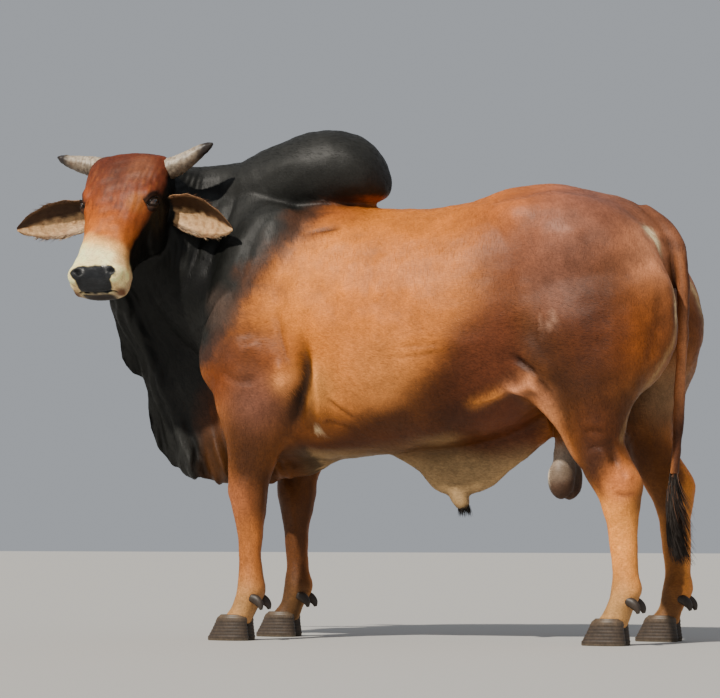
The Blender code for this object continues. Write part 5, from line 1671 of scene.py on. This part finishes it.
# %% Eyeballs
def eyeball(name, sign):
    bm = bmesh.new()
    bmesh.ops.create_uvsphere(bm, u_segments=48, v_segments=32, radius=EYE_RADIUS)
    centre, (out, along, over) = eye_frame(sign)
    turn = Matrix((Vector(along), Vector(over), Vector(out))).transposed().to_4x4()
    obj = hand_over(bm, name)
    points = points_of(obj)
    angle = np.degrees(np.arccos(np.clip(points[:, 2] / EYE_RADIUS, -1, 1)))
    across = np.hypot(points[:, 0] / 0.0078, points[:, 1] / 0.0046)
    colour = evenly(points, 92, 70, 54)
    lay(colour, step(40, 35, angle), (58, 34, 18))
    lay(colour, bell(angle - 36, 3.5) * 0.8, (18, 12, 10))
    lay(colour, (points[:, 2] > 0) * step(1.1, 0.9, across), (5, 5, 7))
    store_colour(obj, "coat", colour)
    obj.data.transform(Matrix.Translation(Vector(centre)) @ turn)
    return settle(obj, EYE)


for side, sign in SIDES:
    ball = eyeball("eyeball_" + side, sign)
    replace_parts(ball, "eye_" + side)
print("eyeballs", EYE_RADIUS * 2000, "mm across")


# %% Horns
HORN_RING = 0.0125


def horn(name, sign, rise, root):
    rows = [
        (0.08, -0.066, root, 0.041),
        (0.122, -0.064, root + 0.002, 0.038),
        (0.162, -0.06, root + 0.006 + rise * 0.2, 0.035),
        (0.206, -0.054, root * 0.5 + rise * 0.6, 0.029),
        (0.246, -0.046, -0.006 + rise, 0.021),
        (0.276, -0.04, -0.002 + rise * 1.3, 0.012),
        (0.288, -0.038, rise * 1.4, 0.004),
    ]
    rows = [(sign * r[0], r[1], r[2], r[3], r[3], r[3]) for r in rows]
    obj = limb(name, rows, up=(0, 1, 0), count=70, segments=40)
    points, outward = points_of(obj), normals_of(obj)
    out = np.abs(points[:, 0])
    ring = np.sin(out * 2 * math.pi / HORN_RING + 1.5 * cloud(points, 0.05, 61))
    ring = ring * step(0.23, 0.15, out)
    worn = cloud(points, 0.028, 62)
    points += outward * (0.0011 * ring + 0.0007 * worn - 0.0012)[:, None]
    colour = evenly(points, 176, 160, 138)
    lay(colour, step(0.2, 1.2, cloud(points, 0.03, 63)) * 0.6, (116, 92, 70))
    lay(colour, step(-0.2, 0.8, ring) * 0.25, (214, 202, 180))
    lay(colour, step(0.13, 0.1, out) * 0.6, (96, 78, 60))
    # Painted shade on the underside of the horn.
    lay(colour, step(0.0, 0.8, -outward[:, 2]) * 0.7, (78, 60, 44))
    lay(colour, step(0.4, 1.2, cloud(points, 0.012, 64)) * 0.5, (70, 52, 38))
    lay(colour, step(0.225, 0.262, out), (36, 27, 22))
    place_points(obj, points)
    store_colour(obj, "coat", colour)
    obj.data.transform(head_matrix())
    return settle(obj, HORN)


for side, sign, rise, root in (("left", -1.0, 0.036, -0.034), ("right", 1.0, 0.018, -0.014)):
    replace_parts(horn("horn_sheath_" + side, sign, rise, root), "horn_" + side)


# %% [markdown]
# ## Feet
# A bull stands on two claws a foot, flat below, steep in front, with growth rings that
# run round them, and a pair of small dewclaws behind the fetlock.

# %% Claws
CLAW_RING = 0.0105


def claw(name, centre_x, centre_y, inner):
    bm = bmesh.new()
    levels = [
        (0.0, 0.0845, 0.0545, 0.0258),
        (0.0015, 0.086, 0.056, 0.027),
        (0.006, 0.0875, 0.0575, 0.0282),
        (0.023, 0.0795, 0.0562, 0.028),
        (0.04, 0.07, 0.054, 0.0275),
        (0.058, 0.061, 0.052, 0.0268),
        (0.076, 0.052, 0.05, 0.0258),
        (0.086, 0.04, 0.04, 0.02),
    ]
    fine = fair([(0, 0, z, front, back, half) for z, front, back, half in levels], 46)
    rings = []
    for _, _, z, front, back, half in fine:
        made = circle(bm, 48)
        growth = 1 + 0.01 * math.sin(z * 2 * math.pi / CLAW_RING) * (z > 0.004)
        for vert in made:
            c, s = vert.co.x, vert.co.y
            length = back if c > 0 else front
            wide = half * (1.0 - 0.35 * max(0.0, -c) ** 2) * (1.0 if s * inner > 0 else 0.82)
            x = centre_x + c * length * growth * 0.995
            y = centre_y + s * wide * growth * 0.985
            vert.co = (x, y, max(z, 0.0))
        rings.append(made)
    bridge(bm, rings)
    obj = hand_over(bm, name)
    points = points_of(obj)
    colour = evenly(points, 58, 47, 38)
    lay(colour, step(0.055, 0.08, points[:, 2]) * 0.6, (104, 84, 62))
    growth = np.sin(points[:, 2] * 2 * math.pi / CLAW_RING)
    lay(colour, step(-0.2, 1.0, growth) * 0.3, (92, 76, 58))
    lay(colour, step(0.012, 0.0, points[:, 2]) * 0.5, (110, 96, 76))
    store_colour(obj, "coat", colour)
    return settle(obj, CLAW)


def dewclaw(name, x, y, sign):
    rows = [
        (x - 0.024, y, 0.142, 0.011, 0.014, 0.014),
        (x - 0.003, y + sign * 0.003, 0.133, 0.012, 0.016, 0.016),
        (x + 0.011, y + sign * 0.005, 0.117, 0.009, 0.012, 0.012),
        (x + 0.015, y + sign * 0.006, 0.102, 0.004, 0.005, 0.005),
    ]
    obj = limb(name, rows, count=22, segments=22)
    points = points_of(obj)
    store_colour(obj, "coat", evenly(points, 52, 42, 34))
    return settle(obj, CLAW)


for side, sign in SIDES:
    fore, hind = FORE_BACK[sign], HIND_BACK[sign]
    feet = (
        ("fore", -0.64 + fore, sign * LEG_Y * 0.96, -0.549 + fore),
        ("hind", 0.642 + hind, sign * LEG_Y * 1.02, 0.728 + hind),
    )
    for leg, x, y, heel in feet:
        for where, way in (("outer", sign), ("inner", -sign)):
            stem = "_".join((side, where))
            nail = claw(leg + "_claw_" + stem, x, y + way * 0.0285, way)
            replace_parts(nail, leg + "hoof_" + stem)
            spur = dewclaw(leg + "_spur_" + stem, heel, y + way * 0.03, way)
            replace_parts(spur, leg + "_dewclaw_" + stem)
print("8 claws and 8 dewclaws")


# %% [markdown]
# ## Short coat
# The real coat is a few millimetres of flat, glossy hair. Single hairs would be far too
# many, so one tuft stands for a pinch of them: a thin three-sided sliver that grows out
# of the skin, bends to lie along it and ends in a point less than a millimetre above it.
# Tufts follow the lie of the coat: back along the barrel, down the legs and face, and
# out along the ears. They are longest on the body and shortest at lids and muzzle.

# %% The tuft pattern
BEND_AT = 0.45


def corners_and_faces(bm):
    """The points and triangles of a small bmesh as arrays."""
    bm.verts.index_update()
    corners = np.array([tuple(v.co) for v in bm.verts])
    faces = np.array([[v.index for v in f.verts] for f in bm.faces])
    bm.free()
    return corners, faces


def tuft_pattern():
    """Corners of one sliver as (across, height, along) and its faces."""
    bm = bmesh.new()
    bmesh.ops.create_cone(bm, cap_ends=True, segments=3, radius1=1.0, radius2=0.0, depth=1.0)
    bmesh.ops.translate(bm, verts=bm.verts[:], vec=(0, 0, 0.5))
    bmesh.ops.remove_doubles(bm, verts=bm.verts[:], dist=1e-4)
    everything = bm.verts[:] + bm.edges[:] + bm.faces[:]
    bmesh.ops.bisect_plane(bm, geom=everything, plane_co=(0, 0, BEND_AT), plane_no=(0, 0, 1))
    for vert in bm.verts:
        if abs(vert.co.z - BEND_AT) < 1e-3:
            flat = vert.co.xy.normalized()
            vert.co.x, vert.co.y = flat.x, flat.y
    bmesh.ops.triangulate(bm, faces=bm.faces[:])
    bmesh.ops.recalc_face_normals(bm, faces=bm.faces[:])
    return corners_and_faces(bm)


TUFT_CORNERS, TUFT_FACES = tuft_pattern()
print("a tuft has", len(TUFT_FACES), "triangles")


# %% The skin's own flat pattern
PATTERN_SHARE = 0.05


def flat_pattern(obj):
    """Unwrap a light copy of the skin, to tell every root its place on it."""
    light = new_object("pattern", obj.data.copy())
    thin = light.modifiers.new("thin", "DECIMATE")
    thin.ratio = PATTERN_SHARE
    baked(light)
    for other in bpy.context.selected_objects:
        other.select_set(False)
    bpy.context.view_layer.objects.active = light
    light.select_set(True)
    bpy.ops.object.mode_set(mode="EDIT")
    bpy.ops.mesh.select_all(action="SELECT")
    bpy.ops.uv.smart_project(angle_limit=math.radians(66), island_margin=0.004)
    bpy.ops.object.mode_set(mode="OBJECT")
    bm = bmesh.new()
    bm.from_mesh(light.data)
    bmesh.ops.triangulate(bm, faces=bm.faces[:])
    layer = bm.loops.layers.uv.active
    tree = BVHTree.FromBMesh(bm)
    shapes = [
        [(loop.vert.co.copy(), Vector((*loop[layer].uv, 0))) for loop in face.loops]
        for face in bm.faces
    ]
    bm.free()
    discard([light])
    return tree, shapes


PATTERN_TREE, PATTERN_SHAPES = flat_pattern(skin)
print("pattern of the skin has", len(PATTERN_SHAPES), "faces")


def pattern_places(roots):
    places = np.empty((len(roots), 2))
    for k, root in enumerate(roots):
        spot, _, face, _ = PATTERN_TREE.find_nearest(Vector(root))
        (a, ua), (b, ub), (c, uc) = PATTERN_SHAPES[face]
        flat = barycentric_transform(spot, a, b, c, ua, ub, uc)
        places[k] = flat.x, flat.y
    return places


# %% Where tufts grow and how they lie
def triangles_of(obj):
    obj.data.calc_loop_triangles()
    flat = np.empty(len(obj.data.loop_triangles) * 3, dtype=int)
    obj.data.loop_triangles.foreach_get("vertices", flat)
    return flat.reshape(-1, 3)


def coat_size(points):
    """Length and width of a tuft at each place, and how many grow on a square metre."""
    near, local = beside(points), to_head_axes(points)
    size = np.tile(((0.021,), (0.0019,), (11500.0,)), (1, len(points)))

    def change(mask, *wanted):
        for row, value in zip(size, wanted):
            row += (value - row) * mask

    change(step(0.75, 0.45, near[:, 2]) * (near[:, 1] > 0.09), 0.013, 0.0015, 16000)
    change(step(0.2, 0.1, near[:, 2]), 0.008, 0.0012)
    face = step(0.07, 0.03, local[:, 2]) * step(-0.33, -0.24, local[:, 1])
    face = face * (np.abs(local[:, 0]) < 0.19)
    change(face, 0.01, 0.0012, 24000)
    change(face * step(-0.36, -0.44, local[:, 2]), 0.006, 0.0009, 34000)
    for _, sign in SIDES:
        change(on_ear(points, sign), 0.013, 0.0014, 20000)
        away = np.linalg.norm(points - eye_frame(sign)[0], axis=1)
        change(step(0.04, 0.024, away), 0.005, 0.0009)
    return size


def lie_of_coat(points, outward):
    """Direction of the hair along the surface."""
    near = beside(points)
    lie = np.tile((1.0, 0.0, -0.3), (len(points), 1))
    on_legs = step(0.95, 0.72, near[:, 2]) * (near[:, 1] > 0.1)
    down = np.maximum(on_legs, step(0.62, 0.75, near[:, 0]))
    down = np.maximum(down, step(-0.55, -0.75, near[:, 0]) * 0.7)
    lie += (np.array((0.12, 0.0, -1.0)) - lie) * down[:, None]
    local = to_head_axes(points)
    face = step(0.07, 0.03, local[:, 2]) * step(-0.33, -0.24, local[:, 1])
    sideways = np.clip(local[:, 0] / 0.12, -1, 1)[:, None] * np.array(HEAD_RIGHT) * 0.35
    lie += (np.array(HEAD_UP) * -1.0 + sideways - lie) * face[:, None]
    for _, sign in SIDES:
        lie += (np.array(ear_frame(sign)[1]) - lie) * on_ear(points, sign)[:, None]
    swirl = np.stack([cloud(points, 0.18, seed) for seed in (71, 72, 73)], axis=1)
    lie += 0.16 * swirl
    lie -= outward * (lie * outward).sum(axis=1)[:, None]
    return lie / np.maximum(np.linalg.norm(lie, axis=1), 1e-6)[:, None]


def choose_roots(obj, chance):
    """Evenly spread roots over the skin, as thick as each place wants them."""
    points = points_of(obj)
    outward = normals_of(obj)
    corners = triangles_of(obj)
    a, b, c = (points[corners[:, k]] for k in range(3))
    areas = np.linalg.norm(np.cross(b - a, c - a), axis=1) / 2
    middles = (a + b + c) / 3
    _, _, number = coat_size(middles)
    bare = np.zeros(len(points))
    obj.data.attributes["wet"].data.foreach_get("value", bare)
    wanted = areas * number * (bare[corners].max(axis=1) < 0.1)
    for _, sign in SIDES:
        centre = eye_frame(sign)[0]
        wanted *= np.linalg.norm(middles - centre, axis=1) > EYE_RADIUS - 0.002
    total = np.cumsum(wanted)
    marks = np.arange(chance.uniform(0, 1), total[-1], 1.0)
    chosen = np.searchsorted(total, marks)
    u, v = chance.uniform(0, 1, (2, len(chosen)))
    over = u + v > 1
    u[over], v[over] = 1 - u[over], 1 - v[over]
    weights = np.stack([1 - u - v, u, v], axis=1)
    roots = (points[corners[chosen]] * weights[:, :, None]).sum(axis=1)
    normals = (outward[corners[chosen]] * weights[:, :, None]).sum(axis=1)
    normals /= np.linalg.norm(normals, axis=1)[:, None]
    colours = (skin_colour[corners[chosen]] * weights[:, :, None]).sum(axis=1)
    return roots, normals, colours


# %% Build one joined piece of tufts
def joined(name, corners, faces, colours, flat):
    """One mesh of many equal tufts: corners (n, k, 3), one colour and one flat place for each."""
    count, per = corners.shape[:2]
    mesh = bpy.data.meshes.new(name)
    mesh.vertices.add(count * per)
    mesh.vertices.foreach_set("co", corners.ravel())
    loops = (faces[None] + np.arange(count)[:, None, None] * per).ravel()
    mesh.loops.add(len(loops))
    mesh.loops.foreach_set("vertex_index", loops)
    mesh.polygons.add(len(loops) // 3)
    mesh.polygons.foreach_set("loop_start", np.arange(0, len(loops), 3))
    mesh.update(calc_edges=True)
    layer = mesh.uv_layers.new(name="OFBake")
    centre = corners[:, :1].repeat(per, axis=1)
    spread = np.linalg.norm(corners - centre, axis=2)
    spread = spread / np.maximum(spread.max(axis=1), 1e-9)[:, None]
    turn = np.arange(per) * 2.4
    places = np.empty((count, per, 2))
    places[:, :, 0] = flat[:, :1] + np.cos(turn) * 0.0015
    places[:, :, 1] = flat[:, 1:] + (spread - 0.5) * 0.003
    layer.data.foreach_set("uv", places.reshape(-1, 2)[loops].ravel())
    obj = new_object(name, mesh)
    store_colour(obj, "coat", colours.repeat(per, axis=0))
    return obj


def lay_tufts(name, surface, roots, normals, lies, lengths, widths, colours, lift, chance):
    """Bend tufts along the surface and join them in one piece."""
    sides = np.cross(normals, lies)
    corners = np.empty((len(roots), len(TUFT_CORNERS), 3))
    middle = roots + lies * (lengths * BEND_AT)[:, None]
    tips = roots + lies * lengths[:, None]
    lifts = lift * chance.uniform(0.6, 1.4, len(roots))
    for k in range(len(roots)):
        for places, share in ((middle, 0.7), (tips, 1.0)):
            spot, normal, _, _ = surface.find_nearest(Vector(places[k]))
            places[k] = spot + normal * (lifts[k] * share)
    base = roots - normals * 0.0005
    for j, (across, height, along) in enumerate(TUFT_CORNERS):
        line = base if along < 0.2 else (middle if along < 0.8 else tips)
        wide = 0.5 * widths * (0.8 if along < 0.2 else 1.0) * (along < 0.8)
        wide, high = (across * wide)[:, None], (height * wide * 0.08)[:, None]
        corners[:, j] = line + sides * wide + normals * high
    return joined(name, corners, TUFT_FACES, colours, pattern_places(roots))


# %% Lay the short coat
COAT_SEED, SWITCH_SEED, SHEATH_SEED, FRINGE_SEED, LASH_SEED = 11, 12, 13, 14, 16


def short_coat(obj):
    chance = np.random.default_rng(COAT_SEED)
    roots, normals, colours = choose_roots(obj, chance)
    lies = lie_of_coat(roots, normals)
    turn = chance.normal(0, 0.16, len(roots))[:, None]
    lies = lies * np.cos(turn) + np.cross(normals, lies) * np.sin(turn)
    lengths, widths, _ = coat_size(roots)
    lengths = lengths * chance.uniform(0.75, 1.25, len(roots))
    widths = widths * chance.uniform(0.8, 1.2, len(roots))
    local = to_head_axes(roots)
    x, y, z = local.T
    head = (z < 0.05) & (y > -0.28) & (np.abs(x) < 0.45) & (z > -0.6)
    vary = np.where(head, 0.22, 0.1)
    colours = np.clip(colours * (1 + vary * chance.normal(0, 1, len(roots)))[:, None], DARKEST, 1)
    surface = BVHTree.FromPolygons(points_of(obj).tolist(), triangles_of(obj).tolist())
    along_body = np.digitize(roots[:, 0], (-0.55, -0.1, 0.35)) + 2
    zone = np.where(head, 0, np.where(roots[:, 2] < 0.62, 1, along_body))
    names = ["hair_of_" + part for part in ("head", "legs", "neck", "shoulders", "barrel", "rump")]
    for number, name in enumerate(names):
        here = np.flatnonzero(zone == number)
        rows = (v[here] for v in (roots, normals, lies, lengths, widths, colours))
        lift = 0.0005 if name == "hair_of_head" else 0.0007
        piece = lay_tufts(name, surface, *rows, lift, chance)
        settle(piece, HAIR, smooth=False)
        print(name, len(here), "tufts")


short_coat(skin)


# %% [markdown]
# ## Long hair
# Only a few places carry long hair: the switch of the tail, the tuft at the sheath, a
# fringe along the ears and the lashes. Each is a bunch of tapered strands, rooted in
# the skin and bent by their own weight.

# %% Strands
STRAND_STEPS = np.array((0.0, 0.25, 0.5, 0.75, 1.0))


def strand_faces():
    """Faces of a three-sided tapered strand with a point at its end."""
    bm = bmesh.new()
    rings = []
    for level in range(4):
        made = circle(bm, 3)
        bmesh.ops.translate(bm, verts=made, vec=(0, 0, float(level)))
        rings.append(made)
    bridge(bm, rings)
    tip = [v for v in bm.verts if v.co.z > 2.5]
    cap = [f for f in bm.faces if all(v in tip for v in f.verts)]
    bmesh.ops.poke(bm, faces=cap)
    bmesh.ops.triangulate(bm, faces=bm.faces[:])
    bmesh.ops.recalc_face_normals(bm, faces=bm.faces[:])
    for vert in bm.verts:
        if abs(vert.co.x) + abs(vert.co.y) < 1e-6:
            vert.co.z = 4.0
    return corners_and_faces(bm)


STRAND_CORNERS, STRAND_FACES = strand_faces()


def strands(name, roots, ways, lengths, widths, sags, colours):
    """Strands that leave their roots along their ways and sag by a vector as they go."""
    ways = ways / np.linalg.norm(ways, axis=1)[:, None]
    sides = np.cross(ways, (0.31, 0.93, 0.2))
    sides /= np.linalg.norm(sides, axis=1)[:, None]
    lifts = np.cross(sides, ways)
    corners = np.empty((len(roots), len(STRAND_CORNERS), 3))
    for j, (across, height, level) in enumerate(STRAND_CORNERS):
        t = STRAND_STEPS[int(round(level))]
        line = roots + ways * (lengths * t)[:, None] + sags * t * t
        wide = 0.5 * widths * (1 - t ** 2.2) * (0.7 + 0.9 * t if t < 0.4 else 1.06)
        wide, high = (across * wide)[:, None], (height * wide * 0.5)[:, None]
        corners[:, j] = line + sides * wide + lifts * high
    obj = joined(name, corners, STRAND_FACES, colours, pattern_places(roots))
    print(name, len(roots), "strands")
    return settle(obj, HAIR)


# %% Switch of the tail
SWITCH_TOP, SWITCH_LENGTH, SWITCH_END = 0.56, 0.175, 0.246


def all_round(chance, count):
    """Level directions drawn all round."""
    angle = chance.uniform(0, 2 * math.pi, count)
    return np.stack([np.cos(angle), np.sin(angle), np.zeros(count)], axis=1)


def switch():
    chance = np.random.default_rng(SWITCH_SEED)
    count = 620
    drop = chance.uniform(0, 1, count) ** 0.8
    height = SWITCH_TOP - SWITCH_LENGTH * drop
    centre_x = np.interp(height, (0.375, 0.44, 0.5, 0.56), (0.806, 0.801, 0.803, 0.809))
    out = all_round(chance, count)
    wide = np.interp(height, (0.375, 0.44, 0.5, 0.56), (0.02, 0.022, 0.018, 0.014))[:, None]
    spread = chance.uniform(0.1, 1.0, count)[:, None] ** 0.5 * wide
    roots = np.stack([centre_x, np.full(count, -0.022), height], axis=1) + out * spread
    ways = out * chance.uniform(0.02, 0.13, count)[:, None] + np.array((0.0, 0, -1))
    lengths = chance.uniform(0.11, 0.185, count)
    lengths = np.minimum(lengths, roots[:, 2] - SWITCH_END)
    back, sideways = chance.uniform(0.016, 0.06, count), chance.normal(0, 0.007, count)
    sags = np.stack([back, sideways, np.zeros(count)], axis=1) - out * 0.008
    widths = chance.uniform(0.0022, 0.0046, count)
    shade = chance.uniform(0.6, 1.35, count)[:, None]
    colours = np.clip(tone(52, 46, 42) * shade, DARKEST, 1)
    brown = (chance.uniform(0, 1, count) < 0.22) & (height > 0.48)
    colours[brown] = tone(104, 74, 58) * shade[brown]
    return strands("switch_hair", roots, ways, lengths, widths, sags, colours)


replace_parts(switch(), "tail_switch")


# %% Tuft of the sheath, ear fringe and lashes
def sheath_hair():
    chance = np.random.default_rng(SHEATH_SEED)
    count = 150
    out = all_round(chance, count)
    roots = np.array((0.095, 0, 0.446)) + out * chance.uniform(0.006, 0.018, count)[:, None]
    ways = out * 0.35 + np.array((-0.05, 0, -1))
    lengths = chance.uniform(0.024, 0.046, count)
    sags = np.array((0.006, 0, 0)) - out * 0.006
    widths = chance.uniform(0.0016, 0.0028, count)
    colours = np.clip(tone(30, 24, 20) * chance.uniform(0.6, 1.4, count)[:, None], DARKEST, 1)
    return strands("sheath_hair", roots, ways, lengths, widths, sags, colours)


def ear_fringe(name, sign):
    """Hair that hangs from the lower edge of an ear and lies across its cup."""
    chance = np.random.default_rng(FRINGE_SEED + int(sign))
    count = 260
    root, reach, opening, broad = (np.array(v) for v in ear_frame(sign))
    out = chance.uniform(0.03, 0.265, count)
    _, angle, radius = ear_section(sign, out)
    edge = np.where(chance.uniform(0, 1, count) < 0.6, -1.0, 1.0)
    edge = edge * chance.uniform(0.8, 0.97, count)
    bend = edge * angle
    roots = root + reach * out[:, None] + np.outer(ear_droop(sign, out), (0, 0, 1))
    roots += broad * (np.sin(bend) * radius)[:, None]
    roots -= opening * ((np.cos(bend) - np.cos(angle)) * radius)[:, None]
    ways = reach * 0.9 + broad * (edge * 0.25)[:, None] + opening * 0.15
    ways = ways + chance.normal(0, 0.12, (count, 3))
    lengths = chance.uniform(0.016, 0.034, count) * step(0.3, 0.22, out + 0.02)
    lengths = np.maximum(lengths, 0.008)
    sags = np.tile((0.0, 0.0, -0.004), (count, 1))
    widths = chance.uniform(0.001, 0.0019, count)
    pale = (edge < 0) & (chance.uniform(0, 1, count) < 0.55)
    colours = np.where(pale[:, None], tone(214, 184, 146), tone(84, 58, 40))
    colours = np.clip(colours * chance.uniform(0.75, 1.2, count)[:, None], DARKEST, 1)
    return strands(name, roots, ways, lengths, widths, sags, colours)


def lashes(name, sign):
    chance = np.random.default_rng(LASH_SEED + int(sign))
    count = 34
    centre, (out, along, over) = eye_frame(sign)
    x = np.linspace(-0.017, 0.018, count)
    y = 0.0125 * (1 - (x / 0.0245) ** 2) + 0.0008
    deep = np.sqrt(np.maximum((EYE_RADIUS + 0.003) ** 2 - x ** 2 - y ** 2, 1e-8))
    roots = centre + x[:, None] * along + y[:, None] * over + deep[:, None] * out
    ways = out + over * 0.25 + x[:, None] * along * 14
    lengths = chance.uniform(0.007, 0.011, count)
    sags = np.tile(over * 0.002 - np.array((0, 0, 0.003)), (count, 1))
    widths = np.full(count, 0.0008)
    colours = np.tile(tone(20, 16, 14), (count, 1))
    return strands(name, roots, ways, lengths, widths, sags, colours)


sheath_hair()
for side, sign in SIDES:
    ear_fringe("ear_fringe_" + side, sign)
    lashes("lashes_" + side, sign)


# %% Settle the skin itself
settle(skin, HIDE)
FLESH = ["torso", "hump", "neck", "dewlap", "head", "tail", "scrotum", "sheath"]
FLESH += [stem + side for stem in ("ear_", "foreleg_", "hindleg_") for side, _ in SIDES]
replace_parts(skin, *FLESH)
print("the skin stands for", len(FLESH), "soft parts")


# %% [markdown]
# ## Camera and light
# The camera stands low, about ten metres off and a little ahead of square to the bull,
# with a long lens. One sun from the upper left, over the camera's shoulder, shows the
# form, an even sky fills the shade, and a plain pale floor takes the shadow.

# %% Camera
def looking(turn, climb):
    """The rotation of a thing that looks along a turn from +Y and a climb from level."""
    level = math.cos(climb)
    way = Vector((-math.sin(turn) * level, math.cos(turn) * level, math.sin(climb)))
    return way.to_track_quat("-Z", "Y").to_euler()


AZIMUTH = math.radians(20.0)
CLIMB = math.radians(3.357)
camera_data = bpy.data.cameras.new("camera")
camera_data.lens = 150.0
camera_data.sensor_width = 36.0
camera = new_object("camera", camera_data)
camera.location = Vector(PLACE) + Vector((3.15, -9.397, 0.38))
camera.rotation_euler = looking(AZIMUTH, CLIMB)
bpy.context.scene.camera = camera
print("camera at", tuple(round(v, 3) for v in camera.location))

# %% Floor, sun and sky
bm = bmesh.new()
bmesh.ops.create_grid(bm, x_segments=1, y_segments=1, size=30.0)
floor = hand_over(bm, "floor")
floor_material, _, floor_shader = new_material("floor")
dial(floor_shader, Base_Color=(0.46, 0.45, 0.43, 1), Roughness=0.9)
floor.data.materials.append(floor_material)

sun_data = bpy.data.lights.new("sun", "SUN")
sun_data.energy = 5.2
sun_data.angle = math.radians(2.0)
sun_data.color = (1.0, 0.94, 0.84)
sun = new_object("sun", sun_data)
sun.rotation_euler = looking(AZIMUTH - math.radians(38.0), math.radians(-43.0))

world = bpy.data.worlds.new("sky")
world.use_nodes = True
dial(world.node_tree.nodes["Background"], Color=(0.74, 0.78, 0.84, 1), Strength=0.5)
bpy.context.scene.world = world

# %% Sizes, then finish
bpy.context.view_layer.update()
shown = [o for o in bpy.context.scene.objects if o.type == "MESH" and not o.hide_render]
print("triangles shown:", sum(count_triangles(o) for o in shown))
